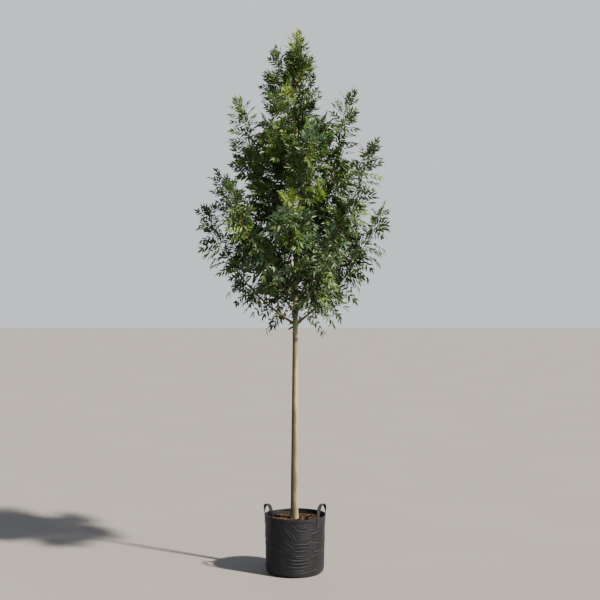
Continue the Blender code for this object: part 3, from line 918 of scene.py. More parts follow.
# Upper side, its drift, and lower side of each tint's leaves
LEAF_COLOURS = {
    # The SHADE colours are painted shade, dealt to shaded sprays
    Tint.SHADE: ((37, 58, 27), (31, 50, 21), (62, 84, 48)),
    Tint.DEEP: ((45, 70, 30), (37, 61, 24), (70, 94, 52)),
    Tint.MIDDLE: ((60, 88, 35), (49, 76, 28), (86, 112, 58)),
    Tint.FRESH: ((78, 106, 38), (64, 92, 32), (98, 124, 58)),
    Tint.YOUNG: ((110, 137, 46), (93, 121, 40), (124, 145, 64)),
    Tint.GREY: ((68, 95, 68), (57, 84, 54), (94, 121, 86)),
}


@dataclass(frozen=True)
class LeafPlan:
    """Where one compound leaf grows and how it is bent."""

    root: Vector
    heading: Vector
    across: Vector
    length: float
    droop: float
    pairs: int
    tint: Tint

    def spot(self, share: float, aside: float = 0.0) -> Vector:
        """A point of the leaf: some way along its midrib, and aside by a share of its length."""
        fall = 0.5 * self.droop * share * share
        return self.root + (self.heading * share - UP * fall + self.across * aside) * self.length

    def sample(self) -> list[Vector]:
        """Points that stand for the whole leaf, past the part next to its shoot."""
        middle = [self.spot(share) for share in (0.4, 0.7, 1.0)]
        return middle + [self.spot(share, aside) for share in (0.5, 0.8) for aside in (-0.24, 0.24)]


@dataclass(frozen=True)
class LeafForm:
    """The proportions of a compound leaf, as shares of its length where not said otherwise."""

    first_pair: float = 0.13
    last_pair: float = 0.76
    end_leaflet: float = 0.80
    leaflet_length: float = 0.385
    end_length: float = 0.40
    leaflet_width: float = 0.152  # half of it, as a share of the leaflet's own length
    low_angle: float = 57.0  # degrees off the midrib at the lowest pair
    high_angle: float = 36.0
    roll: float = 0.36  # radians that a leaflet turns about its own length
    fold: Range = (8.0, 32.0)  # degrees that its halves are lifted
    stations: tuple[float, ...] = (0.15, 0.40, 0.70)
    thickness: float = 0.0005  # metres
    stalk_radius: float = 0.0009  # metres
    stalk_rows: int = 5
    stalk_past: float = 0.06  # how far the stalk runs into the end leaflet
    stalk_thinning: float = 0.45  # of its radius, left at its end
    angle_spread: float = 7.0  # degrees either way
    fall: Range = (-0.10, 0.50)  # how far a leaflet hangs, by the droop
    arch: Range = (0.04, 0.20)  # how far its tip bends down, by its length
    length_spread: Range = (0.90, 1.08)
    width_spread: Range = (0.88, 1.12)


class LeafBatch:
    """Many leaves worked out together as arrays, one row for each leaf."""

    def __init__(self, plans: Sequence[LeafPlan], form: LeafForm, seed: int) -> None:
        """Collects the plans' values.

        Args:
            plans: the leaves.
            form: their proportions.
            seed: where their chance starts.
        """
        self.form = form
        self.chance = np.random.default_rng(seed)
        self.root, self.heading, self.across, self.length, self.droop, self.pairs = (
            np.array([getattr(plan, name) for plan in plans])
            for name in ("root", "heading", "across", "length", "droop", "pairs")
        )

    def midrib(self, shares: Array) -> Array:
        """Root + length * (heading * s - up * droop * s * s / 2), at a share for each leaf.

        Args:
            shares: (leaves, n) shares of the length.

        Returns:
            (leaves, n, 3) points.
        """
        fall = 0.5 * self.droop[:, None] * shares**2
        way = self.heading[:, None] * shares[..., None] - UPWARDS * fall[..., None]
        return self.root[:, None] + way * self.length[:, None, None]

    def stalks(self) -> Shape:
        """The midribs as stalks.

        Returns:
            Three-sided tubes that thin towards the end leaflet.
        """
        form, count = self.form, len(self.root)
        shares = np.linspace(0.0, form.end_leaflet + form.stalk_past, form.stalk_rows)
        paths = self.midrib(np.tile(shares, (count, 1)))
        radii = np.linspace(1.0, form.stalk_thinning, len(shares)) * form.stalk_radius
        return closed_tubes(rings_along(paths, np.tile(radii, (count, 1)), 3))

    def blades(self) -> Shape:
        """All leaflets.

        Returns:
            The pairs along each midrib and one leaflet at its end.
        """
        count = len(self.root)
        share, size = np.full(count, self.form.end_leaflet), np.full(count, self.form.end_length)
        sides = itertools.product(range(int(self.pairs.max())), (-1.0, 1.0))
        parts = [self.side_leaflets(pair, sign) for pair, sign in sides]
        parts.append(self.leaflets(share, np.zeros(count), 1.0, size, self.pairs > 0))
        rings, ends = (np.concatenate(column) for column in zip(*parts))
        return closed_tubes(rings, ends, finishes=(1, 1, 0, 0))

    def side_leaflets(self, pair: int, sign: float) -> tuple[Array, Array]:
        """One leaflet of one pair, on every leaf that has that pair.

        Args:
            pair: which pair, from the lowest.
            sign: which side, -1 or 1.

        Returns:
            The rings and end points of the leaflets.
        """
        form = self.form
        along = pair / np.maximum(self.pairs - 1, 1)
        share = form.first_pair + (form.last_pair - form.first_pair) * along
        angle = np.radians(form.low_angle + (form.high_angle - form.low_angle) * along)
        size = form.leaflet_length * (0.84 + 0.16 * np.sin(math.pi * (0.15 + 0.75 * along)))
        return self.leaflets(share, angle, sign, size, self.pairs > pair)

    def leaflets(
        self, share: Array, angle: Array, sign: float, size: Array, kept: Array
    ) -> tuple[Array, Array]:
        """Lens-shaped leaflets with a fold along the middle and a tip that arches over.

        Half width = widest * sin(pi * s ** 0.8); the middle line = base + way * s, less normal *
        arch * s * s; the edges stand out to both sides, lifted by the fold.

        Args:
            share: (leaves,) where on the midrib each one sits.
            angle: (leaves,) how far it turns off the midrib, in radians.
            sign: which side.
            size: (leaves,) its length as a share of the leaf's.
            kept: (leaves,) which leaves have it.

        Returns:
            The rings (kept, rows, 4, 3) and end points (kept, 2, 3).
        """
        chance, form = self.chance, self.form
        count = len(self.root)
        base = self.midrib(share[:, None])[:, 0]
        forward = unit(self.heading - UPWARDS * (self.droop * share)[:, None])
        across = square_to(self.across, forward)
        normal = np.cross(across, forward)
        angle = (angle + np.radians(chance.uniform(-form.angle_spread, form.angle_spread, count)))[:, None]
        fall = (self.droop * chance.uniform(*form.fall, count))[:, None]
        way = unit(forward * np.cos(angle) + across * sign * np.sin(angle) - normal * fall)
        side = unit(np.cross(way, normal))
        roll = chance.normal(0.0, form.roll, count)[:, None]
        side = side * np.cos(roll) + normal * np.sin(roll)
        normal = np.cross(side, way)
        length = (size * self.length * chance.uniform(*form.length_spread, count))[:, None, None]
        widest = length * form.leaflet_width * chance.uniform(*form.width_spread, count)[:, None, None]
        fold = np.radians(chance.uniform(*form.fold, count))[:, None, None]
        arch = chance.uniform(*form.arch, count)[:, None, None]
        along = np.array(form.stations)[None, :, None]
        half = widest * np.sin(math.pi * along**0.8)
        way, side, normal = way[:, None], side[:, None], normal[:, None]
        middle = base[:, None] + length * (way * along - normal * arch * along**2)
        lift = normal * half * np.sin(fold)
        out = side * half * np.cos(fold)
        thick = normal * form.thickness / 2.0
        rings = np.stack([middle + out + lift, middle - thick, middle - out + lift, middle + thick], axis=2)
        end = base[:, None] + length * (way - normal * arch)
        ends = np.concatenate([base[:, None], end], axis=1)
        return rings[kept], ends[kept]


# ---- crown


@dataclass(frozen=True)
class GrowthRule:
    """The named values of the rule by which the crown grows."""

    stem_tip: float = 0.165  # metres that a long stem goes on past the solid one
    stem_bend: float = 0.25  # how much it turns up on that way, as a share of it
    long_reach: float = 0.300  # stems that reach less far go on less far
    leader_foot: float = 2.960  # where the trunk turns into the leading shoot
    node_gap: float = 0.038  # metres between crossed pairs among a stem's twigs
    shoot_gap: float = 0.022  # and past them, where leaves clothe the stem itself
    twig_zone: float = 0.55  # share of a stem's leafy part that carries twigs
    twig_chance: float = 0.46
    twig_length: float = 0.170
    twig_shortening: float = 0.5
    twiggy_length: float = 0.50  # a stem that is shorter than this has shorter twigs
    least_twig: float = 0.075
    twig_angle: float = 38.0
    twig_lift: float = 0.30  # how far a twig turns up, as a share of its length
    twig_gap: float = 0.031  # metres between crossed pairs on a twig
    twig_first: float = 0.035
    young_length: float = 0.099  # a leaf at the very tip of a shoot, and its angle
    young_angle: float = 24.0
    leaf_length: float = 0.134  # a full-grown leaf, and its angle off the shoot
    leaf_angle: float = 57.0
    growing_end: float = 0.18  # metres from a shoot's tip to its first full-grown leaves
    leaf_turn: float = 0.80  # how far chance turns their faces
    leaf_out: float = 0.35
    leaf_up: float = 0.45
    leaf_sun: float = 0.55  # and towards the sunny side
    leaf_tries: int = 6
    leaf_shrink: float = 0.94
    space_slack: float = 0.020  # how far a leaf may reach past the middle to the next stem
    thin_wood: float = 0.003  # leaves keep off wood that is thicker than this
    bare_share_kept: float = 0.35  # leaves start lower on a limb than the solid ones do
    limb_margin: float = 0.004
    low_droop: float = 1.70
    high_droop: float = 0.42
    droop_fade: float = 3.0  # how fast the droop dies away with height
    small_leaves_from: float = 2.65  # leaves get smaller from here up
    small_leaves: float = 0.20  # by this share at the top
    least_rise: float = 0.32  # twigs don't set off flatter than this
    leader_gap: float = 0.018
    leader_leaves: float = 0.88
    leader_start: float = 0.02
    crown_foot: float = 1.600
    crown_top: float = 3.500
    pair_turn_spread: float = 0.25
    gap_spread: Range = (0.85, 1.15)
    first_node: float = 0.3  # of a gap, from where a stem's leaves start
    least_start: float = 0.03  # metres from the trunk to a stem's first leaves
    stem_end: float = 0.030  # metres below the tip without further pairs
    tip_tint_reach: float = 0.07  # metres below the tip with its own tint
    stem_tip_radius: float = 0.0016
    stem_taper: float = 1.35
    collar: tuple[float, ...] = (0.0022, 0.022, 0.016)  # its relief, place and width
    tip_shares: Range = (0.45, 1.2)  # least and most of stem_tip, by a stem's reach
    twig_radii: Range = (0.0024, 0.0012)
    twig_end: float = 0.015
    twig_tries: int = 3
    twig_shrink: float = 0.22  # of its length, taken off at each further try
    tip_leaf: float = 1.1  # the leaf that goes straight on, by young_length
    tip_spread: float = 6.0  # degrees that chance may turn it either way,
    tuft_spread: float = 8.0  # the same for the small pairs,
    leaf_spread: float = 17.0  # and for all other leaves
    size_spread: Range = (0.92, 1.06)
    droop_spread: Range = (0.6, 1.25)
    large_leaf: float = 0.12  # longer leaves more often have five pairs of leaflets
    large_pairs: tuple[int, ...] = (4, 5, 5)
    small_pairs: tuple[int, ...] = (4, 4, 5)
    # The small pairs of a young end: metres below it, degrees off the shoot, size by young_length
    tuft_pairs: tuple[tuple, ...] = ((0.004, 20.0, 0.85), (0.016, 34.0, 1.1))

    def leaf_size(self, from_tip: float) -> float:
        """How long a leaf is that sits so far below its shoot's tip: rising, then full-grown."""
        share = min(from_tip / self.growing_end, 1.0) ** 0.8
        return self.young_length + (self.leaf_length - self.young_length) * share

    def leaf_lean(self, from_tip: float) -> float:
        """How far off the shoot a leaf leans that sits so far below its tip, in degrees."""
        share = min(from_tip / self.growing_end, 1.0) ** 0.6
        return self.young_angle + (self.leaf_angle - self.young_angle) * share

    def height_share(self, height: float, foot: float) -> float:
        """0 up to a foot, and 1 at the crown's top."""
        return min(max((height - foot) / (self.crown_top - foot), 0.0), 1.0)

    def droop(self, height: float) -> float:
        """Low leaves hang and high ones stand up."""
        fall = (1.0 - self.height_share(height, self.crown_foot)) ** self.droop_fade
        return self.high_droop + (self.low_droop - self.high_droop) * fall

    def vigour(self, height: float) -> float:
        """The size of leaves at a height, as a share of the largest ones."""
        return 1.0 - self.small_leaves * self.height_share(height, self.small_leaves_from)


# How far some stems go on past the solid ones, in metres, and how much they turn up on that way,
# where the rule's own values aren't theirs
STEM_TIPS = {
    "01a": (0.13, 0.25), "01b": (0.19, 0.50), "04a": (0.20, 0.10), "04b": (0.21, 0.25),
    "06b": (0.11, 0.25), "07a": (0.26, -0.25), "07b": (0.23, -0.10), "09a": (0.10, 0.25),
    "10a": (0.09, 0.25), "12a": (0.02, 0.25), "12b": (0.07, 0.25), "14a": (0.03, 0.25),
    "14b": (0.12, 0.40),
}

# Where each stem's own chance starts, in the stems' order: it settles which twigs a stem grows
STEM_SEEDS = (
    103, 107, 111, 119, 108, 124, 127, 120, 109, 116, 114, 123, 111, 120, 120, 104, 106, 104, 106, 127,
    118, 121, 106, 110, 124, 110, 124, 106, 112,
)

# The stems whose tips are young and bright
YOUNG_TIPS = ("06b", "08a", "13b", "leader")

# The way that the sunny side faces, in radians: leaves turn to it, and get lighter tints there as painted
# light
SUNNY_WAY = math.radians(-62.0)


@dataclass(frozen=True)
class TintRule:
    """The named values by which sprays are dealt their tints. Heights are in metres."""

    # The crown's outline, height and radius, by which sprays are outer or inner ones
    outline: tuple[Range, ...] = (
        (1.55, 0.22), (1.75, 0.40), (2.00, 0.58), (2.30, 0.64), (2.75, 0.48), (3.10, 0.26), (3.50, 0.08),
    )
    inner: float = 0.30  # share of the outline that inner sprays keep to
    inner_top: float = 3.0
    inner_shade: float = 0.40  # share of them in the darkest tint, as painted shade
    # Where some sprays are grey-green, low in the front, partly as painted sheen of glossy leaves: from and
    # to, along X, Y and Z
    grey_box: tuple[Range, ...] = ((-0.25, 0.18), (-9.0, -0.10), (1.90, 2.40))
    grey_share: float = 0.32
    fresh_and_lit_from: float = 2.6  # sprays get lighter tints with height from here on: partly fresher growth, partly painted light
    fresh_and_lit_rise: float = 1.8  # metres over which that grows to its most
    sunny_from: float = 2.05  # and, as painted light, on the sunny side from here up
    sunny_share: float = 0.6
    shade_below: float = 2.30  # sprays get darker tints from here down, as painted shade
    shade_fall: float = 0.30
    shady_share: float = 0.35  # and, as painted shade, on the side away from the sun
    # The highest draw that gives each tint, and what the lighter share (fresher growth and painted light)
    # and the painted shade add to it
    limits: tuple[tuple, ...] = (
        (Tint.SHADE, 0.0, 0.0, 0.40),
        (Tint.DEEP, 0.36, -0.24, 0.36),
        (Tint.MIDDLE, 0.78, -0.20, 0.16),
        (Tint.FRESH, 0.95, 0.02, 0.02),
        (Tint.GREY, 1.0, 0.0, 0.0),
    )

    def deal(self, point: Vector, middle: Array, draw: float) -> Tint:
        """The tint of a spray.

        Args:
            point: where it grows.
            middle: the trunk's middle at that height.
            draw: a random number of 0 to 1.

        Returns:
            Its tint.
        """
        heights, radii = zip(*self.outline)
        away = math.hypot(point.x - middle[0], point.y - middle[1])
        outer = away / float(np.interp(point.z, heights, radii))
        # Painted shade: sprays inside the crown get the darkest tints
        if outer < self.inner and point.z < self.inner_top:
            return Tint.SHADE if draw < self.inner_shade else Tint.DEEP
        # painted sheen, partly real grey-green: more grey-green sprays low in the front
        in_box = all(low < part < high for part, (low, high) in zip(point, self.grey_box))
        if in_box and draw < self.grey_share:
            return Tint.GREY
        # Painted light on high and sunny sprays, partly fresher growth; painted shade on low ones and those
        # away from the sun
        sunny = outer * math.cos(math.atan2(point.y, point.x) - SUNNY_WAY)
        fresh_and_lit = max((point.z - self.fresh_and_lit_from) / self.fresh_and_lit_rise, 0.0)
        fresh_and_lit += self.sunny_share * max(sunny, 0.0) if point.z > self.sunny_from else 0.0
        fresh_and_lit = min(fresh_and_lit, 1.0)
        low = max((self.shade_below - point.z) / self.shade_fall, 0.0)
        painted_shade = min(low + max(-sunny, 0.0) * min(self.shady_share + low, 1.0), 1.0)
        limits = ((tint, base + fresh * fresh_and_lit + dull * painted_shade) for tint, base, fresh, dull in self.limits)
        return next(tint for tint, limit in limits if draw <= limit)


class Space:
    """Tells whether a point keeps to its own stem's space and off the wood."""

    STEP = 0.015

    def __init__(self, trunk: Trunk, stems: dict[str, Shoot], rule: GrowthRule) -> None:
        """Gathers points along the leafy parts of the stems, and along all wood.

        Args:
            trunk: the tree's trunk.
            stems: the stems by name.
            rule: the rule that they grow by.
        """
        self.rule = rule
        self.names: list[str] = []
        leafy, wood = [], []
        for name, stem in stems.items():
            for distance in np.arange(0.0, stem.length, self.STEP):
                point, _ = stem.at(float(distance))
                radius = stem.radius(distance / stem.length)
                if radius > rule.thin_wood:
                    wood.append((point, radius))
                if distance >= stem.start:
                    leafy.append(point)
                    self.names.append(name)
        heights = np.arange(trunk.foot, rule.leader_foot, self.STEP)
        radii = trunk.radius(heights)
        wood += [(Vector(point), float(radius)) for point, radius in zip(trunk.axis(heights), radii)]
        self.leafy = self.tree(leafy)
        self.own = {}
        for name in stems:
            self.own[name] = self.tree([p for p, owner in zip(leafy, self.names) if owner == name])
        self.wood = self.tree([point for point, _ in wood])
        self.thickness = [radius for _, radius in wood]

    @staticmethod
    def tree(points: Sequence[Vector]) -> KDTree:
        """A tree that finds the nearest of some points.

        Args:
            points: the points.

        Returns:
            The balanced tree.
        """
        made = KDTree(len(points))
        for number, point in enumerate(points):
            made.insert(point, number)
        made.balance()
        return made

    def allows(self, name: str, points: Sequence[Vector]) -> bool:
        """Whether all points are nearly nearest to the named stem, and none touches wood.

        Args:
            name: the stem.
            points: points of a twig or a leaf.

        Returns:
            Whether there is room for them.
        """
        for point in points:
            _, number, distance = self.leafy.find(point)
            further = self.own[name].find(point)[2] - distance
            if self.names[number] != name and further > self.rule.space_slack:
                return False
            _, number, distance = self.wood.find(point)
            if distance < self.thickness[number] + self.rule.limb_margin:
                return False
        return True


class Crown:
    """Grows every stem, twig and leaf by one seeded rule, then makes their meshes."""

    LEAVES_IN_A_PIECE = 720
    STEM_ROWS, STEM_COLUMNS = 64, 14
    TWIG_ROWS, TWIG_COLUMNS = 6, 6
    BARK_LAYERS = ((0.00035, 60.0, 11), (0.00018, 260.0, 13))

    def __init__(self, trunk: Trunk, rule: GrowthRule) -> None:
        """Lays out the stems; grow() and build() do the rest.

        Args:
            trunk: the stem that they leave.
            rule: the rule that they grow by.
        """
        self.trunk = trunk
        self.rule = rule
        self.tints = TintRule()
        self.chance = random.Random(STEM_SEEDS[0])
        self.stems: dict[str, Shoot] = {}
        self.twigs: list[Shoot] = []
        self.leaves: list[LeafPlan] = []
        for limb in limbs():
            self.lay_out(limb)
        heights = np.linspace(rule.leader_foot, trunk.tip, 24)
        radii = trunk.radius(heights)
        line, (foot_radius, *_, tip_radius) = trunk.axis(heights), radii.tolist()
        self.stems["leader"] = Shoot(line, foot_radius, tip_radius, rule.leader_start)
        self.space = Space(trunk, self.stems, rule)

    def lay_out(self, limb: Limb) -> None:
        """Turns a limb into a stem that goes on a little past it, bending upwards.

        Args:
            limb: the limb.
        """
        rule = self.rule
        line = limb.line(self.trunk, 40)
        ahead = unit(line[-1] - line[-2])
        least, most = rule.tip_shares
        more = rule.stem_tip * min(max(limb.reach / rule.long_reach, least), most)
        more, turn_up = STEM_TIPS.get(limb.name, (more, rule.stem_bend))
        onward = np.linspace(0.0, 1.0, 9)[1:, None] * more
        bend = UPWARDS * turn_up * onward**2 / more
        line = np.concatenate([line, line[-1] + ahead * onward + bend])
        foot_radius = 0.5 * float(self.trunk.radius(np.array([limb.foot]))[0])
        stem = Shoot(line, foot_radius, rule.stem_tip_radius)
        bare = limb.bare_share * rule.bare_share_kept * (stem.length - more)
        stem.start = max(bare, rule.least_start)
        self.stems[limb.name] = stem

    def tint_for(self, point: Vector) -> Tint:
        """Deals a spray its tint by where it grows and by chance."""
        middle = self.trunk.axis(np.array([point.z]))[0]
        return self.tints.deal(point, middle, self.chance.random())

    @staticmethod
    def crossed(axis: Vector, angle: float, turn: float) -> list[Vector]:
        """Two opposite directions that lean away from a shoot's axis.

        Args:
            axis: the way that the shoot heads.
            angle: degrees that they lean.
            turn: radians that they are turned round the axis.

        Returns:
            Both directions.
        """
        side = axis.orthogonal().normalized()
        side.rotate(Quaternion(axis, turn))
        lean = math.radians(angle)
        return [(axis * math.cos(lean) + side * sign * math.sin(lean)).normalized() for sign in (1.0, -1.0)]

    def grow(self) -> None:
        """Grows twigs and leaves on every stem."""
        for (name, stem), seed in zip(self.stems.items(), STEM_SEEDS):
            self.chance = random.Random(f"{seed} {name}")
            self.grow_stem(name, stem)
        LOG.info("%d twigs, %d leaves", len(self.twigs), len(self.leaves))

    def grow_stem(self, name: str, stem: Shoot) -> None:
        """A tuft at the tip, twigs in crossed pairs along the lower part, and leaves above them.

        Args:
            name: the stem's name.
            stem: the stem.
        """
        rule, chance, start = self.rule, self.chance, stem.start
        tip_tint = Tint.YOUNG if name in YOUNG_TIPS else self.tint_for(stem.at(stem.length)[0])
        self.grow_tuft(name, stem, tip_tint)
        turn = chance.uniform(0.0, math.pi)
        distance = start + rule.first_node * rule.node_gap
        while distance < stem.length - rule.stem_end:
            share = (distance - start) / (stem.length - start)
            from_tip = stem.length - distance
            foot, axis = stem.at(distance)
            tint = tip_tint if from_tip < rule.tip_tint_reach else self.tint_for(foot)
            length = rule.twig_length * (1.0 - rule.twig_shortening * share)
            length *= min((stem.length - start) / rule.twiggy_length, 1.0)
            twigs = self.crossed(axis, rule.twig_angle, turn)
            for direction, twig in zip(self.crossed(axis, rule.leaf_lean(from_tip), turn), twigs):
                branches = share < rule.twig_zone and length > rule.least_twig and twig.z > rule.least_rise
                branches = branches and chance.random() < rule.twig_chance
                if not (branches and self.grow_twig(name, foot, twig, length)):
                    size = rule.leaf_size(from_tip)
                    self.grow_leaf(name, foot, direction, size, tint, rule.leaf_spread)
            turn += math.pi / 2.0 + chance.uniform(-rule.pair_turn_spread, rule.pair_turn_spread)
            gap = rule.node_gap if share < rule.twig_zone else rule.shoot_gap
            gap = rule.leader_gap if name == "leader" else gap
            distance += gap * chance.uniform(*rule.gap_spread)

    def grow_tuft(self, name: str, shoot: Shoot, tint: Tint) -> None:
        """The young end of a shoot: one leaf straight on, and two small upright pairs below it.

        Args:
            name: the stem whose space it keeps to.
            shoot: the stem or twig.
            tint: the leaves' tint.
        """
        rule, chance = self.rule, self.chance
        end, axis = shoot.at(shoot.length)
        self.grow_leaf(name, end, axis, rule.young_length * rule.tip_leaf, tint, rule.tip_spread)
        turn = chance.uniform(0.0, math.pi)
        for back, lean, size in rule.tuft_pairs:
            foot, axis = shoot.at(shoot.length - back)
            for direction in self.crossed(axis, lean, turn):
                self.grow_leaf(name, foot, direction, rule.young_length * size, tint, rule.tuft_spread)
            turn += math.pi / 2.0

    def grow_twig(self, name: str, foot: Vector, direction: Vector, length: float) -> bool:
        """A twig that turns up a little, with crossed pairs of leaves and a young end.

        Args:
            name: the stem whose space it keeps to.
            foot: where it starts.
            direction: the way it sets off.
            length: how long it is.

        Returns:
            Whether there was room for it.
        """
        rule, chance = self.rule, self.chance
        for attempt in range(rule.twig_tries):
            reach = length * chance.uniform(*rule.gap_spread) * (1.0 - rule.twig_shrink * attempt)
            shares = np.linspace(0.0, 1.0, self.TWIG_ROWS)[:, None]
            lift = UPWARDS * rule.twig_lift * reach * shares**2
            line = np.array(foot) + np.array(direction) * reach * shares + lift
            if self.space.allows(name, [Vector(line[3]), Vector(line[-1])]):
                break
        else:
            return False
        twig = Shoot(line, *rule.twig_radii)
        self.twigs.append(twig)
        turn = chance.uniform(0.0, math.pi)
        distance = rule.twig_first
        while distance < twig.length - rule.twig_end:
            place, axis = twig.at(distance)
            from_tip = twig.length - distance
            tint = self.tint_for(place)
            for way in self.crossed(axis, rule.leaf_lean(from_tip), turn):
                self.grow_leaf(name, place, way, rule.leaf_size(from_tip), tint, rule.leaf_spread)
            turn += math.pi / 2.0 + chance.uniform(-rule.pair_turn_spread, rule.pair_turn_spread)
            distance += rule.twig_gap * chance.uniform(*rule.gap_spread)
        self.grow_tuft(name, twig, self.tint_for(Vector(line[-1])))
        return True

    def grow_leaf(
        self, name: str, foot: Vector, direction: Vector, length: float, tint: Tint, spread: float
    ) -> None:
        """Plans one leaf, turned by chance until it finds room, a little smaller each time.

        Args:
            name: the stem whose space it keeps to.
            foot: where it starts.
            direction: the way it would head without chance.
            length: how long it is at the first try, low in the crown.
            tint: its tint.
            spread: degrees that chance may turn it either way.
        """
        rule, chance = self.rule, self.chance
        length *= rule.leader_leaves if name == "leader" else rule.vigour(foot.z)
        for attempt in range(rule.leaf_tries):
            heading = direction.copy()
            for axis in (UP, direction.orthogonal()):
                heading.rotate(Quaternion(axis, math.radians(chance.uniform(-spread, spread))))
            faces = Vector((foot.x, foot.y, 0.0)).normalized() * rule.leaf_out + UP * rule.leaf_up
            faces += Vector((math.cos(SUNNY_WAY), math.sin(SUNNY_WAY), 0.0)) * rule.leaf_sun
            faces += Vector([chance.gauss(0.0, 0.577) for _ in range(3)]) * rule.leaf_turn
            across = heading.cross(faces).normalized()
            size = length * rule.leaf_shrink**attempt * chance.uniform(*rule.size_spread)
            droop = rule.droop(foot.z) * chance.uniform(*rule.droop_spread)
            pairs = chance.choice(rule.large_pairs if length > rule.large_leaf else rule.small_pairs)
            plan = LeafPlan(foot, heading, across, size, droop, pairs, tint)
            if self.space.allows(name, plan.sample()):
                self.leaves.append(plan)
                return

    def limb_relief(self, points: Array) -> Array:
        """Lumps and fine ridges on the limbs' bark."""
        return layered(points, self.BARK_LAYERS)

    def build(self, finishes: "PlantFinishes") -> None:
        """Makes the limbs, twigs, leaf stalks and leaves in place of the solid boughs and masses.

        Args:
            finishes: their materials.
        """
        nodes = frame["nodes"]
        boughs = sorted(name for name in nodes if name.startswith("bough_"))
        masses = sorted(name for name in nodes if name.startswith("foliage_"))
        stems = [stem for name, stem in self.stems.items() if name != "leader"]
        paths = np.stack([resampled(stem.line, self.STEM_ROWS) for stem in stems])
        along = np.linspace(0.0, 1.0, self.STEM_ROWS)
        radii = np.stack([self.stem_radii(stem, along) for stem in stems])
        shape = closed_tubes(rings_along(paths, radii, self.STEM_COLUMNS, self.limb_relief))
        make_piece("limb_bark", shape, [finishes.limb], 60.0, boughs)
        paths = np.stack([resampled(twig.line, self.TWIG_ROWS) for twig in self.twigs])
        along = np.linspace(0.0, 1.0, self.TWIG_ROWS)
        radii = np.stack([twig.radius(along) for twig in self.twigs])
        shape = closed_tubes(rings_along(paths, radii, self.TWIG_COLUMNS))
        make_piece("twigs", shape, [finishes.twig], 60.0)
        everything = LeafBatch(self.leaves, LeafForm(), seed=1)
        make_piece("leaf_stalks", everything.stalks(), [finishes.stalk], 80.0)
        for number, tint in enumerate(Tint):
            plans = [plan for plan in self.leaves if plan.tint is tint]
            parts = math.ceil(len(plans) / self.LEAVES_IN_A_PIECE)
            for part in range(parts):
                batch = LeafBatch(plans[part::parts], LeafForm(), seed=10 * number + part)
                name = f"leaves_{tint.value}_{part + 1}"
                make_piece(name, batch.blades(), finishes.leaves[tint], 50.0, masses)

    def stem_radii(self, stem: Shoot, along: Array) -> Array:
        """A stem thins fast at first, and has a collar where it leaves the trunk.

        Args:
            stem: the stem.
            along: shares of its length.

        Returns:
            Its radii there.
        """
        relief, middle, width = self.rule.collar
        collar = relief * np.exp(-(((along * stem.length - middle) / width) ** 2))
        thinning = (1.0 - along) ** self.rule.stem_taper
        return stem.tip_radius + (stem.foot_radius - stem.tip_radius) * thinning + collar


class PlantFinishes:
    """The materials of wood and leaves."""

    def __init__(self) -> None:
        """Makes each material once."""
        # The last colour is the darker film away from the sun: partly algae, partly painted shade.
        *bark, algae_and_shade = screen_colours((186, 174, 140), (138, 133, 108), (84, 76, 58), (61, 57, 41))
        self.trunk = BarkFinish("trunk_bark", *bark, algae_and_shade=algae_and_shade).material()
        # The limb bark is darkened to stand for the crown's shade on the limbs: painted shade over their
        # own olive-brown.
        bark = screen_colours((98, 86, 62), (80, 75, 52), (56, 46, 33))
        self.limb = BarkFinish("limb_bark", *bark, coarseness=0.6).material()
        bark = screen_colours((128, 102, 62), (108, 104, 60), (84, 62, 40))
        self.twig = BarkFinish("twig_bark", *bark, coarseness=0.4).material()
        stalk = screen_colours((126, 130, 62), (112, 104, 56))
        self.stalk = LeafFinish("leaf_stalk", *stalk, roughness=0.5).material()
        self.leaves: dict[Tint, list[Material]] = {}
        for tint, values in LEAF_COLOURS.items():
            upper, drift, lower = screen_colours(*values)
            darker = tuple(0.85 * part for part in lower)
            self.leaves[tint] = [
                LeafFinish(f"leaf_{tint.value}_upper", upper, drift, 0.43).material(),
                LeafFinish(f"leaf_{tint.value}_lower", lower, darker, 0.65).material(),
            ]


# ---- grow bag


@dataclass(frozen=True)
class Crease:
    """One soft fold in the bag's wall."""

    turn: float  # radians round the bag
    height: float
    half_length: float  # metres round the wall
    slope: float
    width: float
    depth: float
    curve: float = 0.0  # how fast it bends upwards towards its ends

    def lift(self, turns: Array, heights: Array, radius: float) -> Array:
        """Depth * (a ridge less the hollow above it), fading towards the fold's two ends.

        The ridge runs along height + slope * aside + curve * aside * aside.

        Args:
            turns: angles round the bag, in radians.
            heights: heights on its wall.
            radius: the bag's radius.

        Returns:
            How far the wall stands out there.
        """
        aside = nearest_turn(turns, self.turn) * radius
        ridge = self.height + self.slope * aside + self.curve * aside**2
        above = (heights - ridge) / (self.width * math.hypot(1.0, self.slope))
        fade = np.exp(-((aside / self.half_length) ** 4))
        return self.depth * fade * (np.exp(-(above**2)) - 0.75 * np.exp(-((above - 1.7) ** 2)))


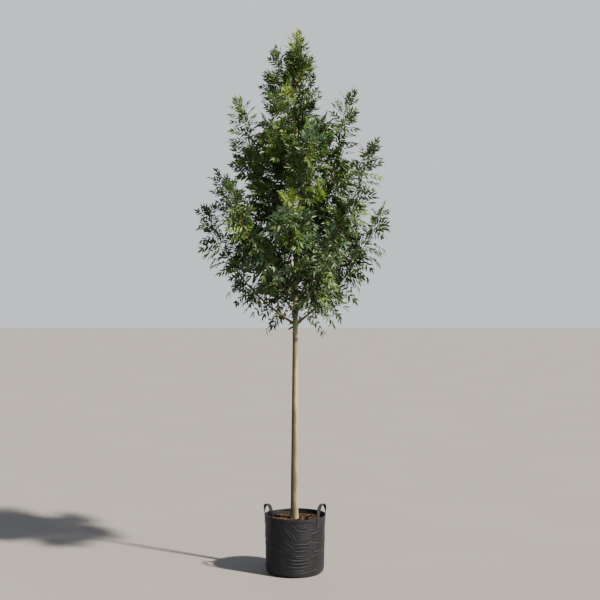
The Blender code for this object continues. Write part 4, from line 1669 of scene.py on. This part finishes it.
# Folds with a set place, on the front panel and, the last three, inside the rim at the back:
# bearing, height, half length, slope, width and depth
PLACED_FOLDS = (
    (-88.0, 0.047, 0.04, 0.02, 0.0042, 0.0013),
    (-87.0, 0.066, 0.055, -0.03, 0.0048, 0.0019),
    (-81.0, 0.089, 0.05, 0.03, 0.005, 0.0026),
    (-85.0, 0.11, 0.058, -0.02, 0.0046, 0.0021),
    (-75.0, 0.125, 0.028, 0.05, 0.0038, 0.0013),
    (-81.0, 0.139, 0.04, 0.03, 0.0044, 0.0019),
    (-90.0, 0.153, 0.026, -0.08, 0.004, 0.0012),
    (-78.0, 0.169, 0.045, 0.06, 0.0046, 0.0021),
    (-72.0, 0.19, 0.034, -0.05, 0.0042, 0.0013),
    (-74.0, 0.211, 0.044, 0.05, 0.005, 0.0015),
    (-69.0, 0.246, 0.03, 0.12, 0.005, 0.001),
    (-79.0, 0.296, 0.03, -0.12, 0.0048, 0.0016),
    (-105.0, 0.288, 0.026, -1.5, 0.005, 0.0016),
    (-95.0, 0.268, 0.028, -1.3, 0.005, 0.0013),
    (-112.0, 0.25, 0.02, -1.6, 0.0052, 0.0011),
    (-89.0, 0.312, 0.022, -1.1, 0.0048, 0.0011),
    (-121.0, 0.17, 0.03, -0.6, 0.006, 0.0012),
    (-101.0, 0.205, 0.03, -0.7, 0.0052, 0.0012),
    (112.0, 0.355, 0.05, 0.04, 0.0045, 0.0018),
    (128.0, 0.362, 0.03, -0.08, 0.004, 0.0013),
    (76.0, 0.357, 0.04, 0.06, 0.0045, 0.0014),
)


@dataclass(frozen=True)
class GrowBag:
    """The woven bag: four panels, seams between them, a hem at the rim and a rounded lower edge."""

    height: float = 0.370
    rim_radius: float = 0.195
    foot_radius: float = 0.1855
    edge_round: float = 0.030
    wall: float = 0.0030
    hem_height: float = 0.020
    hem_proud: float = 0.0015
    seams: tuple[float, ...] = (-141.0, -53.0, 37.0, 129.0)
    seam_half_width: float = 0.0065
    seam_relief: float = 0.0011
    columns: int = 312
    wall_rows: int = 180
    inner_foot: float = 0.280
    other_folds: int = 34
    fold_curve: float = 1.6  # how fast a nearly level fold bends up
    level_slope: float = 0.2
    pucker_relief: float = 0.00045  # beside the seams
    pucker_length: float = 0.019
    rim_round: float = 0.0015
    hem_stitches: int = 150
    seed: int = 4

    def folds(self) -> list[Crease]:
        """The folds with a set place, and some by chance on the other panels.

        Returns:
            The folds.
        """
        chance = random.Random(self.seed)
        made = []
        for bearing, height, length, slope, width, depth in PLACED_FOLDS:
            curve = self.fold_curve if abs(slope) < self.level_slope else 0.0
            made.append(Crease(math.radians(bearing), height, length, slope, width, depth, curve))
        for _ in range(self.other_folds):
            turn = math.radians(chance.uniform(-52.0, 219.0))
            height = chance.uniform(0.03, 0.31)
            length = chance.uniform(0.025, 0.07)
            slope = chance.choice((0.08, 0.25, 0.9)) * chance.uniform(-1.0, 1.0)
            width, depth = chance.uniform(0.0042, 0.0075), chance.uniform(0.0009, 0.0020)
            made.append(Crease(turn, height, length, slope, width, depth))
        return made

    def plain_radius(self, heights: Array) -> Array:
        """The wall widens evenly from the rounded edge to the rim."""
        share = np.clip((heights - self.edge_round) / (self.height - self.edge_round), 0.0, 1.0)
        return self.foot_radius + (self.rim_radius - self.hem_proud - self.foot_radius) * share

    def swell(self, turns: Array, heights: Array) -> Array:
        """How far the cloth stands out: panels bulge between seams, seams are proud, folds lie on it.

        Args:
            turns: angles round the bag, in radians.
            heights: heights on its wall.

        Returns:
            Metres beyond the plain wall.
        """
        seam_turns = np.radians(np.array(self.seams))
        apart = np.min(np.abs(nearest_turn(turns[..., None], seam_turns)), axis=-1) * self.foot_radius
        upright = np.sin(math.pi * np.clip(heights / self.height, 0.0, 1.0))
        total = 0.0012 * upright * (1.0 - np.exp(-((apart / 0.05) ** 2))) - 0.0006 * upright
        strip = 1.0 / (1.0 + np.exp((apart - self.seam_half_width) / 0.0005))
        total = total + self.seam_relief * strip - 0.0009 * np.exp(-((apart / 0.0009) ** 2))
        puckers = np.sin(2.0 * math.pi * heights / self.pucker_length + 9.0 * turns)
        total = total + self.pucker_relief * (puckers * np.exp(-(((apart - 0.013) / 0.008) ** 2)))
        places = np.stack([np.cos(turns) * 1.6, np.sin(turns) * 1.6, heights * 11.0], axis=-1)
        total = total + 0.0010 * lumps(places, 21) + 0.0005 * lumps(places * 3.1, 22)
        for crease in self.folds():
            total = total + crease.lift(turns, heights, self.foot_radius)
        low_edge = self.edge_round * 0.42
        total = total + 0.0012 * np.exp(-(((heights - low_edge) / 0.0022) ** 2))
        return total

    def hem(self, heights: Array) -> Array:
        """The doubled cloth at the rim stands a little proud of the wall."""
        foot = self.height - self.hem_height
        return self.hem_proud / (1.0 + np.exp(-(heights - foot) / 0.0006))

    def outer_radius(self, turns: Array, heights: Array) -> Array:
        """The outside of the wall at some angles and heights."""
        return self.plain_radius(heights) + self.swell(turns, heights) + self.hem(heights)

    def profile(self) -> tuple[Array, Array, Array]:
        """Radius, height and share of the swelling, from the underside's middle over the rim and in.

        Returns:
            Three arrays with a value for each row of the shell.
        """
        flat = self.foot_radius - self.edge_round
        arc = np.radians(np.linspace(-90.0, 0.0, 16))
        wall = np.linspace(self.edge_round, self.height - self.rim_round, self.wall_rows)[1:]
        over = np.radians(np.linspace(0.0, 180.0, 7))[1:-1]
        thick = self.wall
        rim_middle = float(self.plain_radius(np.array(self.height))) + self.hem_proud - thick / 2.0
        inner = np.linspace(self.height - self.rim_round, self.inner_foot, 36)
        down = np.linspace(self.inner_foot, self.edge_round, 8)[1:]
        inner_arc = np.radians(np.linspace(0.0, -90.0, 6))[1:]
        inner_round = self.edge_round - thick
        under, floor = np.linspace(0.01, flat, 8)[:-1], np.linspace(flat, 0.01, 4)[1:]
        rim = self.height - self.rim_round + self.rim_round * np.sin(over)
        edge = self.edge_round * (1.0 + np.sin(arc))
        inner_edge = self.edge_round + inner_round * np.sin(inner_arc)
        rows = [
            (under, np.zeros(7), 0.0),
            (flat + self.edge_round * np.cos(arc), edge, np.linspace(0.0, 1.0, 16)),
            (self.plain_radius(wall) + self.hem(wall), wall, 1.0),
            (rim_middle + thick / 2.0 * np.cos(over), rim, 1.0),
            (self.plain_radius(inner) + self.hem_proud - thick, inner, 1.0),
            (self.plain_radius(down) - thick, down, 0.0),
            (flat + inner_round * np.cos(inner_arc), inner_edge, 0.0),
            (floor, np.full(3, thick), 0.0),
        ]
        rows = [(radius, height, np.broadcast_to(share, radius.shape)) for radius, height, share in rows]
        return tuple(np.concatenate(column) for column in zip(*rows))

    def build(self, cloth: Material) -> None:
        """Makes the shell in place of the solid bag: point = (radius + swell) * (cos, sin), height.

        Args:
            cloth: its material.
        """
        radius, height, share = self.profile()
        turn_grid, height_grid = np.meshgrid(full_turn(self.columns), height)
        out = radius[:, None] + share[:, None] * self.swell(turn_grid, height_grid)
        sag = 0.0016 * np.sin(2.0 * turn_grid + 0.6) + 0.0012 * np.sin(5.0 * turn_grid)
        lifted = height_grid + sag * np.clip((height_grid - 0.30) / 0.07, 0.0, 1.0)
        lifted = lifted - 0.0010 * (height_grid > 0.30)
        rings = raised(level_places(out, turn_grid), lifted)[None]
        along = metres_along(np.stack([radius, height], axis=-1))
        around = np.arange(self.columns + 1) * 2.0 * math.pi / self.columns * self.rim_radius
        shape = closed_tubes(rings, measures=(around, along))
        make_piece("bag_cloth", shape, [cloth], 70.0, ["grow_bag"])

    def seam_stitches(self) -> Array:
        """Two upright rows of stitches on each seam, and one row round the hem.

        Returns:
            (stitches, 2, 2) bearing in radians and height, at each stitch's two ends.
        """
        heights = np.arange(0.036, self.height - self.hem_height - 0.004, 0.0085)
        runs = []
        for bearing, aside in itertools.product(self.seams, (-0.0040, 0.0040)):
            turns = np.full_like(heights, math.radians(bearing) + aside / self.foot_radius)
            runs.append((turns, heights, turns, heights + 0.0055))
        turns = full_turn(self.hem_stitches)
        level = np.full_like(turns, self.height - self.hem_height + 0.0035)
        runs.append((turns, level, turns + 0.0052 / self.rim_radius, level))
        return np.concatenate([np.stack(run, axis=-1).reshape(-1, 2, 2) for run in runs])

    def build_stitches(self, thread: Material) -> None:
        """Makes the seams' stitches: each one dips into the cloth at both ends.

        Args:
            thread: their material.
        """
        spots, rise = stitch_lines(self.seam_stitches(), 0.0009, 0.0004)
        turns, heights = spots[..., 0], spots[..., 1]
        radius = self.outer_radius(turns, heights) + rise
        sew("bag_stitches", raised(level_places(radius, turns), heights), 0.00055, thread)


@dataclass(frozen=True)
class Handle:
    """A webbing loop: two legs sewn flat to the bag, and an arch that turns edge-on over the top."""

    name: str
    bearing: float
    bag: GrowBag
    half_spread: float = 24.5
    sewn_depth: float = 0.062
    rise: float = 0.070
    width: float = 0.024
    thickness: float = 0.0026
    squareness: float = 2.3
    twist_end: float = 0.67
    stitch_gap: float = 0.0048
    stitch_share: float = 0.68  # of the gap that its stitch fills
    leg_rows: int = 20
    arch_rows: int = 60
    columns: int = 20

    def route(self) -> tuple[Array, Array]:
        """Up a leg, over the arch and down the other leg.

        The legs stand on the wall's outside. The arch is a squared-off half ellipse between them:
        across = cos(t) ** (2 / squareness), rise = sin(t) ** (2 / squareness).

        Returns:
            Points (n, 3), and the way that the webbing's width lies there (n, 3).
        """
        spread = math.radians(self.half_spread)
        middle = math.radians(self.bearing)
        rim = self.bag.height + 0.002
        outward = compass(self.bearing)
        chord = np.cross(UPWARDS, outward)
        stand_off = self.bag.rim_radius + 0.0003 + self.thickness / 2.0
        half, centre = stand_off * math.sin(spread), outward * stand_off * math.cos(spread)
        points, widths = [], []
        for sign in (-1.0, 1.0):
            turn = middle + sign * spread
            heights = np.linspace(rim - self.sewn_depth, rim, self.leg_rows)
            settle = np.clip((rim - heights) / 0.012, 0.0, 1.0)
            on_wall = self.bag.outer_radius(np.full_like(heights, turn), heights) + self.thickness / 2.0
            radius = stand_off + (on_wall - stand_off) * settle
            away = np.array((math.cos(turn), math.sin(turn), 0.0))
            leg = away * radius[:, None] + UPWARDS * heights[:, None]
            leg_width = np.cross(UPWARDS, away)
            angle = np.linspace(0.0, math.pi / 2.0, self.arch_rows // 2)[1:]
            across = half * np.cos(angle) ** (2.0 / self.squareness)
            up = rim + self.rise * np.sin(angle) ** (2.0 / self.squareness)
            arch = centre + chord * sign * across[:, None] + UPWARDS * up[:, None]
            turned = smooth(np.clip(angle / (math.pi / 2.0) / self.twist_end, 0.0, 1.0)[:, None])
            arch_width = leg_width * (1.0 - turned) + outward * -sign * turned
            way = np.concatenate([leg, arch])
            width = np.concatenate([np.tile(leg_width, (self.leg_rows, 1)), arch_width])
            if sign > 0:
                way, width = way[-2::-1], -width[-2::-1]
            points.append(way)
            widths.append(width)
        return np.concatenate(points), np.concatenate(widths)

    def build(self, webbing: Material) -> None:
        """Carries a section along the route: width * |cos a| ** 0.55, thickness * |sin a| ** 0.4.

        Args:
            webbing: its material.
        """
        points, widths = self.route()
        along = unit(np.gradient(points, axis=0))
        side = square_to(widths, along)
        depth = np.cross(along, side)
        turn = full_turn(self.columns)
        wide = np.sign(np.cos(turn)) * np.abs(np.cos(turn)) ** 0.55 * self.width / 2.0
        deep = np.sign(np.sin(turn)) * np.abs(np.sin(turn)) ** 0.40 * self.thickness / 2.0
        rings = points[:, None] + side[:, None] * wide[:, None] + depth[:, None] * deep[:, None]
        around = np.append(wide, wide[0]) + self.width
        shape = closed_tubes(rings[None], measures=(around, metres_along(points)))
        make_piece(f"{self.name}_webbing", shape, [webbing], 50.0, [self.name])

    def stitch_paths(self) -> Array:
        """The box and cross of stitches that holds each leg.

        Returns:
            (stitches, STITCH_ROWS, 3) points.
        """
        half_box, low, high = 0.0085, self.bag.height - 0.052, self.bag.height - 0.010
        corners = [(-half_box, low), (half_box, low), (half_box, high), (-half_box, high)]
        lines = list(zip(corners, corners[1:] + corners[:1]))
        lines += [(corners[0], corners[2]), (corners[1], corners[3])]
        ends = []
        for first, last in lines:
            way = np.subtract(last, first)
            count = max(2, round(math.hypot(*way) / self.stitch_gap))
            start = np.array(first) + way * (np.arange(count) / count)[:, None]
            ends.append(np.stack([start, start + way * (self.stitch_share / count)], 1))
        spots, rise = stitch_lines(np.concatenate(ends), 0.0007, 0.0003)
        paths = []
        for sign in (-1.0, 1.0):
            turn = math.radians(self.bearing + sign * self.half_spread)
            away = np.array((math.cos(turn), math.sin(turn), 0.0))
            aside = np.cross(UPWARDS, away)
            wall = self.bag.outer_radius(np.full_like(spots[..., 1], turn), spots[..., 1])
            radius = (wall + self.thickness + rise)[..., None]
            paths.append(away * radius + aside * spots[..., :1] + UPWARDS * spots[..., 1:])
        return np.concatenate(paths)


# ---- compost


# Each kind of chip: its share of them all, its colour, and the one that it drifts to
CHIPS = {
    "dark": (0.56, (58, 44, 35), (40, 31, 25)),
    "red": (0.28, (84, 61, 48), (62, 45, 35)),
    "pale": (0.16, (134, 112, 92), (96, 78, 62)),
}


@dataclass(frozen=True)
class Compost:
    """The fill: a mound round the stem, strewn with chips of bark."""

    bag: GrowBag
    edge_level: float = 0.3365
    middle_level: float = 0.3435
    foot_level: float = 0.290
    rows: int = 46
    columns: int = 120
    chips: int = 2600
    chip_reach: float = 0.180
    chip_length: Range = (0.005, 0.018)
    seed: int = 8

    def level(self, points: Array) -> Array:
        """The surface's height: a shallow mound with lumps.

        Args:
            points: (..., 2) places seen from above.

        Returns:
            (...) heights.
        """
        away = np.hypot(points[..., 0], points[..., 1]) / self.bag.foot_radius
        mound = self.edge_level + (self.middle_level - self.edge_level) * np.clip(1.0 - away, 0.0, 1.0)
        flat = raised(points, np.zeros(points.shape[:-1]))
        return mound + 0.0030 * lumps(flat * 26.0, 31) + 0.0018 * lumps(flat * 75.0, 32)

    def build(self, finish: Material) -> None:
        """Makes the bed: rings from below the surface, up inside the wall and in to the stem.

        Args:
            finish: its material.
        """
        edge = float(self.bag.plain_radius(np.array(self.edge_level))) - self.bag.wall + 0.0008
        away = np.linspace(edge, 0.012, self.rows)
        flat = level_places(*np.meshgrid(away, full_turn(self.columns), indexing="ij"))
        top = raised(flat, self.level(flat))
        foot = top[:1].copy()
        foot[..., 2] = self.foot_level
        rings = np.concatenate([foot * (0.97, 0.97, 1.0), top])[None]
        make_piece("compost_bed", closed_tubes(rings), [finish], 80.0, ["compost"])

    def chip_rings(self, chance: np.random.Generator, count: int) -> Array:
        """Rough five-sided chips that lie about on the bed.

        Args:
            chance: the source of chance.
            count: how many.

        Returns:
            (count, 3, 5, 3) rings.
        """
        away = self.chip_reach * np.sqrt(chance.uniform(0.03, 1.0, count))
        spot = level_places(away, chance.uniform(0.0, 2.0 * math.pi, count))
        length = chance.uniform(*self.chip_length, count)
        wide = length * chance.uniform(0.22, 0.5, count)
        deep = wide * chance.uniform(0.25, 0.6, count)
        turn = chance.uniform(0.0, 2.0 * math.pi, count)
        tilt = chance.normal(0.0, 0.26, count)
        way = np.stack([np.cos(turn) * np.cos(tilt), np.sin(turn) * np.cos(tilt), np.sin(tilt)], axis=-1)
        side = unit(np.cross(way, UPWARDS) + chance.normal(0.0, 0.25, (count, 3)))
        side = square_to(side, way)
        up = np.cross(way, side)
        height = self.level(spot) + deep * 0.35 + chance.uniform(0.0, 0.0022, count)
        middle = raised(spot, height)
        along = np.array((-0.42, 0.02, 0.40))[None, :, None, None]
        around = full_turn(5)[None, None, :, None]
        thick = np.array((0.62, 1.0, 0.55))[None, :, None, None]
        rough = chance.uniform(0.65, 1.2, (count, 3, 5, 1))
        spread = side[:, None, None] * np.cos(around) * (wide / 2.0)[:, None, None, None]
        spread = spread + up[:, None, None] * np.sin(around) * (deep / 2.0)[:, None, None, None]
        start = middle[:, None, None] + way[:, None, None] * along * length[:, None, None, None]
        return start + spread * thick * rough

    def build_chips(self) -> None:
        """Makes the chips, one joined piece for each kind."""
        chance = np.random.default_rng(self.seed)
        for name, (share, *values) in CHIPS.items():
            finish = MatterFinish(f"bark_chip_{name}", *screen_colours(*values), 70.0).material()
            rings = self.chip_rings(chance, round(self.chips * share))
            make_piece(f"bark_chips_{name}", closed_tubes(rings), [finish], 25.0)


# ---- studio


@dataclass(frozen=True)
class Studio:
    """A plain pale floor, soft light mostly from the right and front, and the camera."""

    camera_place: tuple[float, float, float] = (0.032, -6.885, 1.739)
    lens: float = 64.5
    sensor: float = 36.0
    floor_half: float = 60.0
    floor_colour: Colour = (0.29, 0.29, 0.295)
    floor_drift: float = 0.96
    wall_colour: Colour = (0.93, 0.95, 1.00)
    wall_strength: float = 0.88
    ceiling_strength: float = 0.32
    wall_top: Range = (0.29, 0.55)  # sine of the height where the pale walls fade out
    left_wall: Range = (-0.85, -0.25)  # from where to where the left wall is dimmer,
    left_share: float = 0.35  # and how bright it is there
    key_bearing: float = -33.0
    key_height: float = 41.0
    key_power: float = 10.8
    key_spread: float = 3.0
    key_colour: Colour = (1.0, 0.87, 0.70)

    def build_floor(self) -> None:
        """A wide level floor whose colour drifts a little."""
        half = self.floor_half
        corners = [(-half, -half, 0.0), (half, -half, 0.0), (half, half, 0.0), (-half, half, 0.0)]
        mesh = bpy.data.meshes.new("floor")
        mesh.from_pydata(corners, [], [(0, 1, 2, 3)])
        graph = Graph("floor", roughness=0.85, specular=0.2)
        drift = graph.noise((0.8, 0.8, 0.8), detail=3.0)
        darker = tuple(self.floor_drift * part for part in self.floor_colour)
        graph.paint(graph.mix(drift.rising(0.3, 0.7), self.floor_colour, darker))
        mesh.materials.append(graph.material)
        floor = add_object("floor", mesh)

    def build_air(self) -> None:
        """Even pale walls, dimmer on the left, and a dimmer ceiling."""
        world = bpy.data.worlds.new("studio_air")
        bpy.context.scene.world = world
        world.use_nodes = True
        nodes = Nodes(world.node_tree)
        aside, _, rise = nodes.parts(nodes.node("ShaderNodeTexCoord").outputs["Generated"])
        strength = rise.rising(*self.wall_top) * (self.ceiling_strength - self.wall_strength)
        strength = strength + self.wall_strength
        left = aside.rising(*self.left_wall) * (1.0 - self.left_share) + self.left_share
        background = nodes.tree.nodes["Background"]
        nodes.give(background.inputs["Color"], self.wall_colour)
        nodes.give(background.inputs["Strength"], strength * left)

    def build_key(self) -> None:
        """A soft key light, high on the right and a little to the front."""
        data = bpy.data.lights.new("key", "SUN")
        data.energy = self.key_power
        data.angle = math.radians(self.key_spread)
        data.color = self.key_colour
        rise = math.radians(self.key_height)
        towards = Vector(compass(self.key_bearing)) * math.cos(rise) + UP * math.sin(rise)
        add_object("key", data).rotation_euler = towards.to_track_quat("Z", "Y").to_euler()

    def build_camera(self) -> None:
        """A level camera in front of the tree."""
        data = bpy.data.cameras.new("camera")
        data.lens = self.lens
        data.sensor_width = self.sensor
        camera = add_object("camera", data)
        camera.location = self.camera_place
        camera.rotation_euler = (math.radians(90.0), 0.0, 0.0)
        bpy.context.scene.camera = camera

    def build(self) -> None:
        """Makes the whole studio."""
        self.build_camera()
        self.build_floor()
        self.build_air()
        self.build_key()


def main() -> None:
    """Builds the studio, the bag, its fill and the tree, and notes the sizes."""
    logging.basicConfig(level=logging.INFO, format="%(message)s")
    Studio().build()

    bag = GrowBag()
    cloth = ClothFinish("bag_cloth", *screen_colours((10, 13, 20), (26, 31, 41), (54, 54, 54)))
    webbing = WebbingFinish("webbing", *screen_colours((18, 21, 28), (38, 42, 51))).material()
    thread = MatterFinish("thread", *screen_colours((58, 58, 60), (40, 40, 42)), 300.0).material()
    bag.build(cloth.material())
    bag.build_stitches(thread)
    handles = [Handle("handle_left", -163.0, bag), Handle("handle_right", -17.0, bag)]
    for handle in handles:
        handle.build(webbing)
    paths = np.concatenate([handle.stitch_paths() for handle in handles])
    sew("handle_stitches", paths, 0.0005, thread)

    compost = Compost(bag)
    earth = MatterFinish("compost_bed", *screen_colours((32, 26, 22), (52, 41, 34)), 90.0)
    compost.build(earth.material())
    compost.build_chips()

    finishes = PlantFinishes()
    trunk = Trunk()
    trunk.build(finishes.trunk)
    crown = Crown(trunk, GrowthRule())
    crown.grow()
    crown.build(finishes)


if __name__ == "__main__":
    main()
